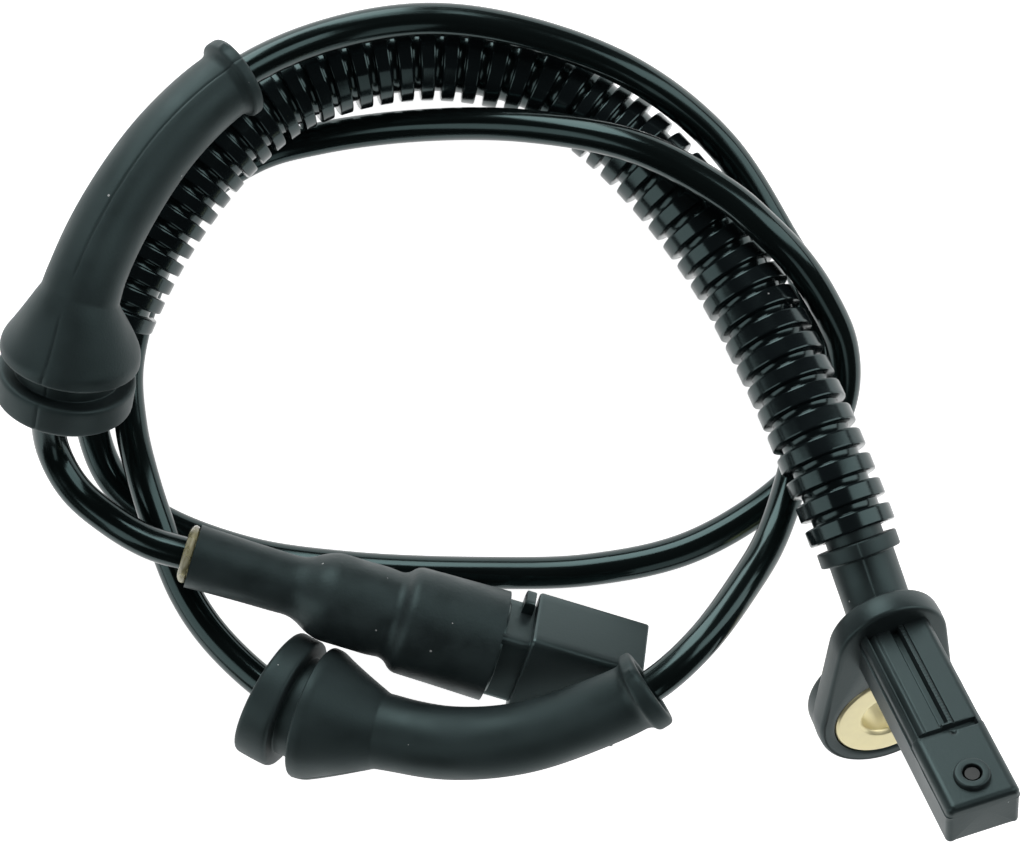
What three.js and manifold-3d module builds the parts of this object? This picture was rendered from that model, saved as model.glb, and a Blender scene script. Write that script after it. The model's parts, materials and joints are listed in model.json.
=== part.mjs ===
// Wheel speed sensor of a car: sensor head with its mounting ear, looped cable in a corrugated
// conduit, two rubber grommets and a sleeved two-way connector, laid down as one coil.
// Millimetres, +Z up. The table is z = 0 and the origin is below the middle of the rigid pieces.
import * as THREE from 'three';
import { mergeVertices } from 'three/addons/utils/BufferGeometryUtils.js';
import Module from 'manifold-3d';

const wasm = await Module();
wasm.setup();

// Driving dimensions
const fitGap = 0.35; // clearance between pieces that touch on the real object
const overrun = 1; // how far a cutter runs past a face, or a joined piece into its neighbour
const cable = { diameter: 5, sides: 10, steps: 100 };
const core = { diameter: 1, spread: 1.5, sides: 8 };
const conduit = { crest: 13.3, root: 10.4, bore: 9.4, crestShare: 0.67, ribs: 47, sides: 12 };
// Where ribs stand along the conduit: a rib's number, and its distance from the conduit's start.
// The conduit is drawn out a little beside the sensor and pushed together at its other end.
const ribPlaces = [[0, 0], [4, 15.4], [18, 70.4], [21, 79.6], [25, 95.4], [33, 123.9], [47, 170.7]];
const neck = { diameter: 10, bore: 6.4, spigotLength: 6, cableDepth: 8.15, stations: 8, chamfer: 0.4 };
const neckCollar = { diameter: 12.3, length: 2.3, gap: 1.25 };
const flange = { radius: 8.4, thickness: 4, side: 0.2, over: -0.7 };
const shank = { length: 32.4, width: 10.9, depth: 8, corner: 1.1 };
const face = { padLength: 12.45, grooveWidth: 1.15, grooveDepth: 0.9, ledge: 0.6 };
const trough = { depth: 1.1, left: -0.55, right: 0.35, landDrop: 0.25 };
const boss = { diameter: 5, flare: 0.4, hole: 2.8, height: 0.9, fromEnd: 4.45 };
const bush = { outer: 16.8, bore: 8, length: 6.4, chamfer: 0.5, proud: 0.1 };
const ear = { wall: 2.05, side: -1.05, drop: -16.9 };
const cavity = { width: 8, start: 0.5, low: -2.6, high: 2.2, endWall: 1.2 };
const carrier = { width: 7.2, thickness: 1.8, start: 5, pegDiameter: 2.1, pegTop: 0.5 };
const magnet = { length: 5, width: 4.4, height: 1.7 };
const chip = { length: 1.4, width: 5 };
const lead = { width: 0.7, thickness: 0.4, inset: 0.1 };
const crimp = { length: 3, outer: 2, bore: 1.6, sides: 12 };
const disc = { radius: 10.2, thickness: 4.8, edge: 0.5 };
const groove = { radius: 7.7, width: 2.8 };
const cone = { radius: 10.4, land: 1.8, length: 10.1 };
const tail = { startRadius: 5.6, endRadius: 5, length: 42.8, bore: 6.9, mouth: 8.4, mouthDepth: 4 };
const lip = { radius: 6.2, width: 2.4 };
const hollow = { radius: 6.2 };
const grommetSides = 16;
const sleeve = {
  wall: 0.9, mouthRadius: 4.8, waistRadius: 4.5, bumpRadius: 6.8, nip: 0.3, endRadius: 8.5, drawn: 0.15,
};
const sleeveAt = { waist: 16.8, bump: 21, bumpEnd: 29.5, step: 33.5, end: 47.2 };
const bead = { length: 2.6, outside: 1.3, flare: 4.3 };
const plug = { width: 16, height: 12, length: 17.2, wall: 1.7, roll: 36.2, corner: 0.9, neckLength: 4.3 };
const plugNeck = { width: 12, height: 10 };
const latch = { length: 1.7, width: 3, height: 1.8, back: 2.1 };
const socket = { depth: 12, corner: 0.5 };
const collar = { start: 0.5, wall: 1.3 };
const terminal = {
  pitch: 4.2, crimpRadius: 1.15, crimpLength: 5, bladeWidth: 1.6, bladeThickness: 0.8, recess: 5.6,
};
const seal = { length: 5 };
const lock = { thickness: 1.6 };
const boreSides = 12;

// Middle of the rigid pieces, in the coordinates of the places and routes below
const coilMiddle = { x: -2.28, y: 1.63 };

// Place of the sensor head: where its axis leaves the flange's front face, and the way it points
const headPlace = { x: 55.85, y: -32.42, z: 24.61, heading: -66.8, tilt: 41.4, roll: -10 };

// Route of the cable from the sensor's neck to the connector, points chosen along its loops
const route = curveThrough([
  // neck and conduit, up the right side, over the top and down the left
  [52.95, -24.2, 20.2], [51, -18.5, 20], [45.9, -4.8, 17.8], [40.7, 7.9, 14.2], [33.5, 22.3, 10],
  [24.5, 35, 7.8], [14.8, 45, 6.9], [3.5, 52.5, 6.9], [-10.9, 55.3, 7.7], [-24.5, 53.6, 9],
  [-34.9, 49.2, 10.6], [-43.7, 41.8, 11.9], [-53.9, 28.3, 12.4], [-60.8, 14.5, 11.8],
  // low strand along the bottom
  [-63.9, 6.3, 7.9], [-64, -1.3, 4.5], [-61.2, -8.7, 2.9], [-54.7, -14.6, 2.7], [-40.9, -20, 2.7],
  [-25.6, -22.3, 2.7], [-4.3, -23.2, 2.7], [12, -22.7, 2.7], [26.7, -19.5, 2.7], [38.9, -12.6, 2.7],
  // right side, then over the conduit and back to the left below it
  [46.5, -5.1, 2.8], [50.4, 3.9, 4.6], [50, 11.6, 7.7], [46.5, 18.6, 11.6], [42.3, 24.1, 14.9],
  [37.6, 28.7, 16.8], [31.6, 33.7, 17.6], [18.4, 40.7, 17.6], [2.7, 44.2, 13.2], [-14, 45, 6.6],
  [-29.4, 43.4, 3.1], [-39.4, 40.6, 2.7], [-49.4, 33.4, 2.7], [-55.8, 20.9, 2.7], [-58.9, 8.7, 2.8],
  // over the low strand and through the lower grommet
  [-58.1, -0.5, 5.2], [-56.1, -8, 7.6], [-53.5, -15.8, 8.3], [-49.4, -26.3, 7.6], [-44.2, -33.5, 8.4],
  [-35.2, -41, 10.7], [-29.1, -43.4, 12.2], [-19.3, -46.2, 14.8], [-9.2, -47.7, 17.2], [1, -46.7, 19.8],
  [11.1, -43.3, 22.4], [20.3, -38.6, 24.8],
  // outer strand, up the right side and over the top
  [27.5, -32.4, 23.6], [34.7, -23.7, 17.6], [38.6, -17.9, 13.2], [42.2, -9, 8.8], [44.5, 1, 5.7],
  [46.1, 11, 3], [45.1, 20.9, 2.7], [41, 28.6, 3.3], [31.9, 41.9, 7], [18.6, 51.7, 13.5],
  [2.7, 57.6, 16.4], [-12.2, 59.7, 17], [-26.9, 57.1, 19.3],
  // through the upper grommet and round to the connector
  [-39.7, 50.7, 24.2], [-49.4, 41.4, 28.4], [-57.3, 29.1, 31.2], [-61.7, 18.7, 32.1], [-65.3, 11.2, 27.9],
  [-68, 3.8, 22], [-68.5, -4, 15], [-65.5, -10, 13.4], [-60.1, -14.7, 13.3], [-54.1, -18.1, 14.1],
  [-47.64, -20.08, 14.4], [-32.4, -24.7, 13.2],
]);
const conduitStart = neck.cableDepth;
const routePoints = route.points;
const sleeveMouth = routePoints[routePoints.length - 2];
const cableEnd = routePoints[routePoints.length - 1];

// Axes of the two grommets: the cable's route in the tail, straight on in the cone and disc
const lowerAxis = curveThrough([
  [-37.3, -40.2, 10.2], [-33.2, -42.3, 11.2], [-29.2, -43.8, 12.2], [-19.3, -46.2, 14.8], [-9.2, -47.7, 17.2],
  [1, -46.7, 19.8], [11.1, -43.3, 22.4], [20.3, -38.6, 24.8], [27.5, -32.4, 23.6],
]);
const upperAxis = curveThrough([
  [-65.7, 3.6, 23.0], [-63.9, 10.3, 27.7], [-61.7, 18.7, 32.1], [-57.3, 29.1, 31.2], [-49.4, 41.4, 28.4],
  [-39.7, 50.7, 24.2], [-26.9, 57.1, 19.3],
]);

// Materials
const finish = (color, roughness, metalness) => (
  new THREE.MeshStandardMaterial({ color, roughness, metalness })
);
const housingPlastic = finish(0x1c2223, 0.55, 0);
const conduitPlastic = finish(0x0e1415, 0.25, 0);
const cableJacket = finish(0x0d1213, 0.2, 0);
const softRubber = finish(0x1f2729, 0.7, 0);
const sleeveFilm = finish(0x1d2426, 0.65, 0);
const meltGlue = finish(0xc9c69a, 0.3, 0);
const plugPlastic = finish(0x1a2021, 0.5, 0);
const bushZinc = finish(0xe6dfae, 0.35, 0.9);
const tinnedCopper = finish(0xc7c9c4, 0.35, 0.9);
const carrierPlastic = finish(0x202524, 0.6, 0);
const chipEpoxy = finish(0x151515, 0.5, 0);
const ferrite = finish(0x3a3a3c, 0.5, 0.3);
const coreInsulation = [finish(0x2a2a2a, 0.5, 0), finish(0xdad7cc, 0.5, 0)];
const sealSilicone = finish(0x3f6f86, 0.6, 0);

function curveThrough(points) {
  const curve = new THREE.CatmullRomCurve3(points.map((p) => new THREE.Vector3(...p)), false, 'centripetal');
  curve.arcLengthDivisions = 4000;
  return curve;
}

// Merge shared vertices and turn the faces of an inside-out geometry outwards
function closed(geometry) {
  const bare = new THREE.BufferGeometry();
  bare.setAttribute('position', geometry.getAttribute('position').clone());
  if (geometry.index) bare.setIndex(geometry.index.clone());
  const merged = mergeVertices(bare, 1e-4);
  const kept = [];
  const index = merged.index.array;
  for (let i = 0; i < index.length; i += 3) {
    const [a, b, c] = [index[i], index[i + 1], index[i + 2]];
    if (a !== b && b !== c && c !== a) kept.push(a, b, c);
  }
  merged.setIndex(kept);
  if (signedVolume(merged) < 0) {
    for (let i = 0; i < kept.length; i += 3) [kept[i + 1], kept[i + 2]] = [kept[i + 2], kept[i + 1]];
    merged.setIndex(kept);
  }
  return merged;
}

function signedVolume(geometry) {
  const at = geometry.getAttribute('position');
  const index = geometry.index.array;
  const [a, b, c] = [new THREE.Vector3(), new THREE.Vector3(), new THREE.Vector3()];
  let volume = 0;
  for (let i = 0; i < index.length; i += 3) {
    a.fromBufferAttribute(at, index[i]);
    b.fromBufferAttribute(at, index[i + 1]);
    c.fromBufferAttribute(at, index[i + 2]);
    volume += a.dot(b.cross(c)) / 6;
  }
  return volume;
}

function toSolid(geometry) {
  const merged = closed(geometry);
  const mesh = new wasm.Mesh({
    numProp: 3,
    vertProperties: new Float32Array(merged.getAttribute('position').array),
    triVerts: new Uint32Array(merged.index.array),
  });
  return new wasm.Manifold(mesh);
}

function toGeometry(solid) {
  const mesh = solid.getMesh();
  const geometry = new THREE.BufferGeometry();
  geometry.setAttribute('position', new THREE.BufferAttribute(new Float32Array(mesh.vertProperties), 3));
  geometry.setIndex(new THREE.BufferAttribute(new Uint32Array(mesh.triVerts), 1));
  return geometry;
}

function join(...geometries) {
  return geometries.map(toSolid).reduce((whole, next) => whole.add(next));
}

function cut(solid, ...geometries) {
  return geometries.map(toSolid).reduce((rest, next) => rest.subtract(next), solid);
}

function addMesh(group, name, geometry, material) {
  const mesh = new THREE.Mesh(closed(geometry), material);
  mesh.name = name;
  group.add(mesh);
  return mesh;
}

// Turned piece: a closed profile of [along, radius] pairs about the X axis
function turned(profile, sides) {
  const points = [...profile, profile[0]].map(([along, radius]) => new THREE.Vector2(radius, along));
  return new THREE.LatheGeometry(points, sides).rotateZ(-Math.PI / 2);
}

// Bend a piece turned about the X axis onto a curve: x becomes the length run along the curve,
// and the section stays upright, with its y to the side and its z above the curve
function bendOnto(curve, geometry, start = 0) {
  const bent = geometry.clone();
  const at = bent.getAttribute('position');
  const total = curve.getLength();
  const up = new THREE.Vector3(0, 0, 1);
  const vertex = new THREE.Vector3();
  for (let i = 0; i < at.count; i += 1) {
    vertex.fromBufferAttribute(at, i);
    const run = (start + vertex.x) / total;
    const inside = Math.min(Math.max(run, 0), 1);
    const tangent = curve.getTangentAt(inside);
    const side = new THREE.Vector3().crossVectors(up, tangent).normalize();
    const over = new THREE.Vector3().crossVectors(tangent, side);
    const place = curve.getPointAt(inside).addScaledVector(tangent, (run - inside) * total);
    place.addScaledVector(side, vertex.y).addScaledVector(over, vertex.z);
    at.setXYZ(i, place.x, place.y, place.z);
  }
  return bent;
}

// Bar along X with a rounded rectangular section, width along Y and height along Z
function roundedBar(start, end, width, height, corner) {
  const [w, h, r] = [width / 2, height / 2, corner];
  const outline = new THREE.Shape();
  outline.moveTo(-w + r, -h).lineTo(w - r, -h).absarc(w - r, -h + r, r, -Math.PI / 2, 0);
  outline.lineTo(w, h - r).absarc(w - r, h - r, r, 0, Math.PI / 2);
  outline.lineTo(-w + r, h).absarc(-w + r, h - r, r, Math.PI / 2, Math.PI);
  outline.lineTo(-w, -h + r).absarc(-w + r, -h + r, r, Math.PI, 1.5 * Math.PI);
  const options = { depth: end - start, bevelEnabled: false, curveSegments: 3 };
  const bar = new THREE.ExtrudeGeometry(outline, options);
  return bar.rotateX(Math.PI / 2).rotateZ(Math.PI / 2).translate(start, 0, 0);
}

function boxFrom(x, y, z) {
  const size = [x, y, z].map(([low, high]) => high - low);
  const middle = [x, y, z].map(([low, high]) => (low + high) / 2);
  return new THREE.BoxGeometry(...size).translate(...middle);
}

const around = (middle, width) => [middle - width / 2, middle + width / 2];

// Cylinder from one x to another, its axis along X through (y, z)
function rod(start, end, radius, y = 0, z = 0, sides = 24) {
  const bar = new THREE.CylinderGeometry(radius, radius, end - start, sides).rotateZ(-Math.PI / 2);
  return bar.translate((start + end) / 2, y, z);
}

// Wire of a round section along a list of points
function wire(points, diameter, sides, steps) {
  const section = new THREE.Shape();
  section.absarc(0, 0, diameter / 2, 0, 2 * Math.PI);
  const path = points instanceof THREE.Curve ? points : curveThrough(points);
  const options = { steps, extrudePath: path, bevelEnabled: false, curveSegments: sides / 2 };
  return new THREE.ExtrudeGeometry(section, options);
}

// Group with its X axis on a heading and tilt, in degrees, and turned about that axis by a roll
function placedGroup(place) {
  const group = new THREE.Group();
  const heading = THREE.MathUtils.degToRad(place.heading);
  const tilt = THREE.MathUtils.degToRad(place.tilt);
  const roll = THREE.MathUtils.degToRad(place.roll ?? 0);
  group.rotation.set(roll, -tilt, heading, 'ZYX');
  group.position.set(place.x, place.y, place.z);
  group.updateMatrix();
  return group;
}

const object = new THREE.Group();
object.position.set(-coilMiddle.x, -coilMiddle.y, 0);
const head = placedGroup(headPlace);
object.add(head);
const intoHead = head.matrix.clone().invert();

// Sensor housing: neck, flange, ear and shank moulded as one piece
function neckCurve() {
  const flangeBack = new THREE.Vector3(-flange.thickness, 0, 0).applyMatrix4(head.matrix);
  const flangeFront = new THREE.Vector3(0, 0, 0).applyMatrix4(head.matrix);
  const total = route.getLength();
  const spigotEnd = route.getPointAt((conduitStart + neck.spigotLength) / total);
  const shoulder = route.getPointAt(conduitStart / total);
  const tip = [flangeFront, flangeBack, routePoints[0], shoulder, spigotEnd];
  return curveThrough(tip.map((p) => p.toArray()));
}

function neckShape() {
  const curve = neckCurve();
  const whole = curve.getLength();
  const collarEnd = whole - neck.spigotLength - neckCollar.gap;
  const collarStart = collarEnd - neckCollar.length;
  const spigotRadius = conduit.bore / 2 - fitGap;
  const neckRadius = neck.diameter / 2;
  const boreRadius = neck.bore / 2;
  const outer = [];
  const inner = [];
  for (let i = 0; i <= neck.stations; i += 1) {
    const along = overrun + (collarStart - overrun) * (i / neck.stations);
    outer.push([along, neckRadius]);
    inner.push([along, boreRadius]);
  }
  outer.push([collarStart, neckCollar.diameter / 2], [collarEnd, neckCollar.diameter / 2]);
  outer.push([collarEnd, spigotRadius], [whole - neck.chamfer, spigotRadius]);
  outer.push([whole, spigotRadius - neck.chamfer]);
  inner.unshift([0, 0], [0, boreRadius]);
  inner.push([whole + overrun, boreRadius], [whole + overrun, 0]);
  const body = turned([[overrun, 0], ...outer, [whole, 0]], 20);
  return { body: bendOnto(curve, body), passage: bendOnto(curve, turned(inner, 16)) };
}

function earPlate() {
  const radius = bush.outer / 2 + fitGap + ear.wall;
  const [aside, below] = [ear.side - flange.side, ear.drop - flange.over];
  const turn = Math.acos((flange.radius - radius) / Math.hypot(aside, below));
  const direction = Math.atan2(below, aside);
  const outline = new THREE.Shape();
  outline.absarc(flange.side, flange.over, flange.radius, direction + turn, direction - turn + 2 * Math.PI);
  outline.absarc(ear.side, ear.drop, radius, direction - turn, direction + turn);
  const options = { depth: flange.thickness, bevelEnabled: false, curveSegments: 14 };
  const plate = new THREE.ExtrudeGeometry(outline, options);
  plate.rotateX(Math.PI / 2).rotateZ(Math.PI / 2).translate(-flange.thickness, 0, 0);
  const bossBody = rod(-bush.length + 2 * bush.proud, 0, radius, ear.side, ear.drop, 28);
  return join(plate, bossBody);
}

function shankShape() {
  const end = shank.length;
  const halfWidth = shank.width / 2;
  const top = shank.depth / 2;
  const body = roundedBar(-overrun, end, shank.width, shank.depth, shank.corner);
  const padStart = end - face.padLength;
  const grooveStart = padStart - face.grooveWidth;
  const channelEnd = grooveStart - face.ledge;
  const bossRadius = boss.diameter / 2;
  const bossHeight = boss.height + overrun;
  const bossBody = new THREE.CylinderGeometry(bossRadius, bossRadius + boss.flare / 2, bossHeight, 20);
  bossBody.rotateX(Math.PI / 2).translate(end - boss.fromEnd, 0, top - overrun + bossHeight / 2);
  const channel = boxFrom([-overrun, channelEnd], [trough.left, trough.right],
    [top - trough.depth, top + overrun]);
  const leftLand = boxFrom([-overrun, grooveStart], [-halfWidth - overrun, trough.left],
    [top - trough.landDrop, top + overrun]);
  const acrossFace = boxFrom([grooveStart, padStart], around(0, shank.width + overrun),
    [top - face.grooveDepth, top + overrun]);
  return cut(join(body, bossBody), channel, leftLand, acrossFace);
}

function sensorHousing() {
  const neckParts = neckShape();
  for (const part of Object.values(neckParts)) part.applyMatrix4(intoHead);
  const bossAt = shank.length - boss.fromEnd;
  const room = boxFrom([cavity.start, shank.length - cavity.endWall], around(0, cavity.width),
    [cavity.low, cavity.high]);
  const holeTop = shank.depth / 2 + boss.height + overrun;
  const pegHole = new THREE.CylinderGeometry(boss.hole / 2, boss.hole / 2, holeTop, 16);
  pegHole.rotateX(Math.PI / 2).translate(bossAt, 0, holeTop / 2);
  const holeRadius = bush.outer / 2 + fitGap;
  const bushHole = rod(-bush.length - overrun, overrun, holeRadius, ear.side, ear.drop, 32);
  const passageEnd = rod(-flange.thickness, overrun, neck.bore / 2, 0, (cavity.low + cavity.high) / 2, 16);
  const body = toSolid(neckParts.body).add(earPlate()).add(shankShape());
  return cut(body, neckParts.passage, passageEnd, room, pegHole, bushHole);
}

function mountingBush() {
  const [r, bore] = [bush.outer / 2, bush.bore / 2];
  const { length, chamfer } = bush;
  const profile = [
    [0, bore + chamfer], [0, r - chamfer], [-chamfer, r], [-length + chamfer, r], [-length, r - chamfer],
    [-length, bore + chamfer], [-length + chamfer, bore], [-chamfer, bore],
  ];
  return turned(profile, 32).translate(bush.proud, ear.side, ear.drop);
}

const carrierEnd = shank.length - cavity.endWall - fitGap;
const carrierTop = cavity.low + fitGap + carrier.thickness;

function chipCarrier() {
  const plate = boxFrom([carrier.start, carrierEnd], around(0, carrier.width),
    [cavity.low + fitGap, carrierTop]);
  const pegTop = shank.depth / 2 + carrier.pegTop;
  const pegRoot = carrierTop - carrier.thickness / 2;
  const pegRadius = carrier.pegDiameter / 2;
  const peg = new THREE.CylinderGeometry(pegRadius, pegRadius, pegTop - pegRoot, 16);
  peg.rotateX(Math.PI / 2).translate(shank.length - boss.fromEnd, 0, (pegTop + pegRoot) / 2);
  return join(plate, peg);
}

addMesh(head, 'sensor_housing', toGeometry(sensorHousing()), housingPlastic);
addMesh(head, 'mounting_bush', mountingBush(), bushZinc);
addMesh(head, 'chip_carrier', toGeometry(chipCarrier()), carrierPlastic);

// Sensing parts on the carrier: chip at the tip, magnet behind it, and the two leads beside them
const chipStart = carrierEnd - chip.length;
const onCarrier = carrierTop + fitGap;
const magnetEnd = shank.length - boss.fromEnd - boss.diameter / 2;
addMesh(head, 'sensing_chip', boxFrom([chipStart, carrierEnd], around(0, chip.width),
  [onCarrier, cavity.high - fitGap]), chipEpoxy);
addMesh(head, 'bias_magnet', boxFrom([magnetEnd - magnet.length, magnetEnd], around(0, magnet.width),
  [onCarrier, onCarrier + magnet.height]), ferrite);
const crimpStart = carrier.start + 1;
const leadSide = carrier.width / 2 - lead.width / 2 - lead.inset;
const crimpRadius = crimp.outer / 2;
const crimpHeight = onCarrier + crimpRadius;
const neckEntry = route.getPointAt(0).addScaledVector(route.getTangentAt(0), -1.5 * fitGap);
neckEntry.applyMatrix4(intoHead);
['signal', 'supply'].forEach((name, i) => {
  const sign = i === 0 ? -1 : 1;
  const strip = boxFrom([crimpStart + crimp.length + fitGap, chipStart - fitGap],
    around(sign * leadSide, lead.width), [onCarrier, onCarrier + lead.thickness]);
  addMesh(head, `${name}_lead`, strip, tinnedCopper);
  const crimpSide = sign * (leadSide - lead.width);
  const barrel = turned([
    [0, crimpRadius], [crimp.length, crimpRadius], [crimp.length, crimp.bore / 2], [0, crimp.bore / 2],
  ], crimp.sides).translate(crimpStart, crimpSide, crimpHeight);
  addMesh(head, `head_crimp_${i + 1}`, barrel, tinnedCopper);
  const points = [
    [neckEntry.x, neckEntry.y + sign * core.spread / 2, neckEntry.z],
    [-flange.thickness, sign * core.spread * 0.6, -0.9],
    [0, sign * core.spread * 0.8, -0.4],
    [crimpStart - 2, crimpSide, crimpHeight],
    [crimpStart + crimp.length - 0.5, crimpSide, crimpHeight],
  ];
  addMesh(head, `head_core_wire_${i + 1}`, wire(points, core.diameter, core.sides, 12), coreInsulation[i]);
});

// Cable and the pieces threaded on it
addMesh(object, 'cable', wire(route, cable.diameter, cable.sides, cable.steps), cableJacket);

function ribPlace(number) {
  const next = ribPlaces.findIndex(([known]) => known > number);
  const [[low, start], [high, end]] = [ribPlaces[next - 1], ribPlaces[next]];
  return THREE.MathUtils.mapLinear(number, low, high, start, end);
}

function conduitShape() {
  const [crest, root, bore] = [conduit.crest / 2, conduit.root / 2, conduit.bore / 2];
  const crestEnd = (rib) => ribPlace(rib) + (ribPlace(rib + 0.5) - ribPlace(rib)) * 2 * conduit.crestShare;
  const outer = [];
  const inner = [];
  for (let i = 0; i < conduit.ribs; i += 1) {
    const [start, end] = [ribPlace(i), crestEnd(i)];
    outer.push([start, root], [start, crest], [end, crest], [end, root]);
    if (i > 0) inner.push([start, bore]);
  }
  outer[0] = [0, bore];
  outer[outer.length - 1] = [crestEnd(conduit.ribs - 1), bore];
  return turned([...outer, ...inner.reverse()], conduit.sides);
}
addMesh(object, 'conduit', bendOnto(route, conduitShape(), conduitStart), conduitPlastic);

// Grommet, one moulding used twice: disc, groove, hollow cone, and a tail tube that ends in a lip
function grommetShape() {
  const grooveEnd = disc.thickness + groove.width;
  const coneEnd = grooveEnd + cone.land + cone.length;
  const end = coneEnd + tail.length;
  const stations = 9;
  const tube = [];
  const bore = [];
  for (let i = 1; i <= stations; i += 1) {
    const share = i / stations;
    const along = coneEnd + (tail.length - lip.width) * share;
    tube.push([along, THREE.MathUtils.lerp(tail.startRadius, tail.endRadius, share)]);
    if (along < end - tail.mouthDepth) bore.unshift([along, tail.bore / 2]);
  }
  const outer = [
    [0, hollow.radius], [0, disc.radius - disc.edge], [disc.edge, disc.radius],
    [disc.thickness - disc.edge, disc.radius], [disc.thickness, disc.radius - disc.edge],
    [disc.thickness, groove.radius], [grooveEnd, groove.radius], [grooveEnd, cone.radius - 0.5],
    [grooveEnd + 0.6, cone.radius], [grooveEnd + cone.land, cone.radius - 0.2],
    [coneEnd, tail.startRadius], ...tube,
    [end - lip.width, lip.radius - 0.5], [end - lip.width + 0.6, lip.radius], [end - 0.6, lip.radius],
    [end, lip.radius - 0.6], [end, tail.mouth / 2],
  ];
  const inner = [[end - tail.mouthDepth, tail.bore / 2], ...bore, [coneEnd, tail.bore / 2],
    [grooveEnd + cone.land, hollow.radius], [disc.thickness, hollow.radius]];
  return turned([...outer, ...inner], grommetSides);
}
addMesh(object, 'grommet_lower', bendOnto(lowerAxis, grommetShape()), softRubber);
addMesh(object, 'grommet_upper', bendOnto(upperAxis, grommetShape()), softRubber);

// Connector at the cable's end, its X axis along the last stretch of the route
const run = new THREE.Vector3().subVectors(cableEnd, sleeveMouth);
const connector = placedGroup({
  x: sleeveMouth.x,
  y: sleeveMouth.y,
  z: sleeveMouth.z,
  heading: THREE.MathUtils.radToDeg(Math.atan2(run.y, run.x)),
  tilt: THREE.MathUtils.radToDeg(Math.atan2(run.z, Math.hypot(run.x, run.y))),
});
object.add(connector);
const cableInside = run.length();
const plugStart = sleeveAt.end + plug.neckLength;
const plugEnd = plugStart + plug.length;
const rollAngle = THREE.MathUtils.degToRad(plug.roll);
const rolled = (geometry) => geometry.rotateX(rollAngle);

function sleeveProfile() {
  const { wall } = sleeve;
  const outer = [
    [0, sleeve.mouthRadius],
    [sleeveAt.waist, sleeve.waistRadius],
    [sleeveAt.waist + 2.2, sleeve.bumpRadius - 0.7],
    [sleeveAt.bump, sleeve.bumpRadius],
    [sleeveAt.bumpEnd, sleeve.bumpRadius],
    [sleeveAt.bumpEnd + 1.6, sleeve.bumpRadius - sleeve.nip],
    [sleeveAt.bumpEnd + 2.6, sleeve.endRadius - 0.9],
    [sleeveAt.step, sleeve.endRadius - sleeve.drawn],
    [sleeveAt.end, sleeve.endRadius],
  ];
  const inner = outer.map(([along, radius]) => [along, radius - wall]).reverse();
  return [...outer, ...inner];
}
addMesh(connector, 'shrink_sleeve', turned(sleeveProfile(), 20), sleeveFilm);

const beadInner = cable.diameter / 2 + fitGap;
const beadOuter = sleeve.mouthRadius - sleeve.wall - fitGap;
addMesh(connector, 'adhesive_bead', turned([
  [-bead.outside, beadInner], [-bead.outside, beadInner + 0.6], [-bead.outside / 2 - 0.3, bead.flare],
  [-fitGap, bead.flare], [-fitGap, beadOuter], [bead.length - bead.outside, beadOuter],
  [bead.length - bead.outside, beadInner],
], 16), meltGlue);

const barrelRadius = sleeve.endRadius - sleeve.drawn - sleeve.wall - fitGap;
const collarRadius = sleeve.bumpRadius - sleeve.nip - sleeve.wall - fitGap;
const socketBottom = plugEnd - socket.depth;
const sealRoom = collarRadius - collar.wall;
const plugInside = { width: plug.width - 2 * plug.wall, height: plug.height - 2 * plug.wall };

function connectorHousing() {
  const { width, height, corner } = plug;
  const collarBody = rod(sleeveAt.bump + collar.start, sleeveAt.step + overrun, collarRadius, 0, 0, 20);
  const barrel = rod(sleeveAt.step, sleeveAt.end + overrun, barrelRadius, 0, 0, 20);
  const neckStart = sleeveAt.end + fitGap;
  const neckBar = rolled(roundedBar(neckStart, plugStart + overrun, plugNeck.width, plugNeck.height, corner));
  const block = rolled(roundedBar(plugStart, plugEnd, width, height, corner));
  const latchBack = plugStart - latch.back;
  const latchFoot = plugNeck.width / 2;
  const latchBar = rolled(boxFrom([latchBack, latchBack + latch.length],
    [latchFoot - overrun, latchFoot + latch.height],
    around(-plugNeck.height / 2 + latch.width / 2, latch.width)));
  const mouth = rolled(roundedBar(socketBottom, plugEnd + overrun, plugInside.width, plugInside.height,
    socket.corner));
  const sealBore = rod(sleeveAt.bump, sleeveAt.step, sealRoom, 0, 0, 20);
  const boreRadius = terminal.crimpRadius + fitGap;
  const terminalBores = [-1, 1].map((sign) => rolled(rod(sleeveAt.step - overrun, socketBottom + overrun,
    boreRadius, sign * terminal.pitch / 2, 0, boreSides)));
  return cut(join(collarBody, barrel, neckBar, block, latchBar), mouth, sealBore, ...terminalBores);
}
addMesh(connector, 'connector_housing', toGeometry(connectorHousing()), plugPlastic);

// Wire seal, terminals and their lock, inside the connector
const sealStart = sleeveAt.bump + 4;
const sealEnd = sealStart + seal.length;
function wireSeal() {
  const body = rod(sealStart, sealEnd, sealRoom - fitGap, 0, 0, 20);
  const holeRadius = core.diameter / 2 + fitGap;
  const holes = [-1, 1].map((sign) => rolled(rod(sealStart - overrun, sealEnd + overrun, holeRadius,
    sign * terminal.pitch / 2, 0, boreSides)));
  return cut(toSolid(body), ...holes);
}
addMesh(connector, 'wire_seal', toGeometry(wireSeal()), sealSilicone);

const terminalStart = sleeveAt.step + 1;
const crimpEnd = terminalStart + terminal.crimpLength;
const bladeEnd = plugEnd - terminal.recess;
function terminalShape(side) {
  const barrel = rod(terminalStart, crimpEnd, terminal.crimpRadius, side, 0, boreSides);
  const blade = boxFrom([crimpEnd - overrun, bladeEnd], around(side, terminal.bladeWidth),
    around(0, terminal.bladeThickness));
  return rolled(toGeometry(join(barrel, blade)));
}

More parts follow.
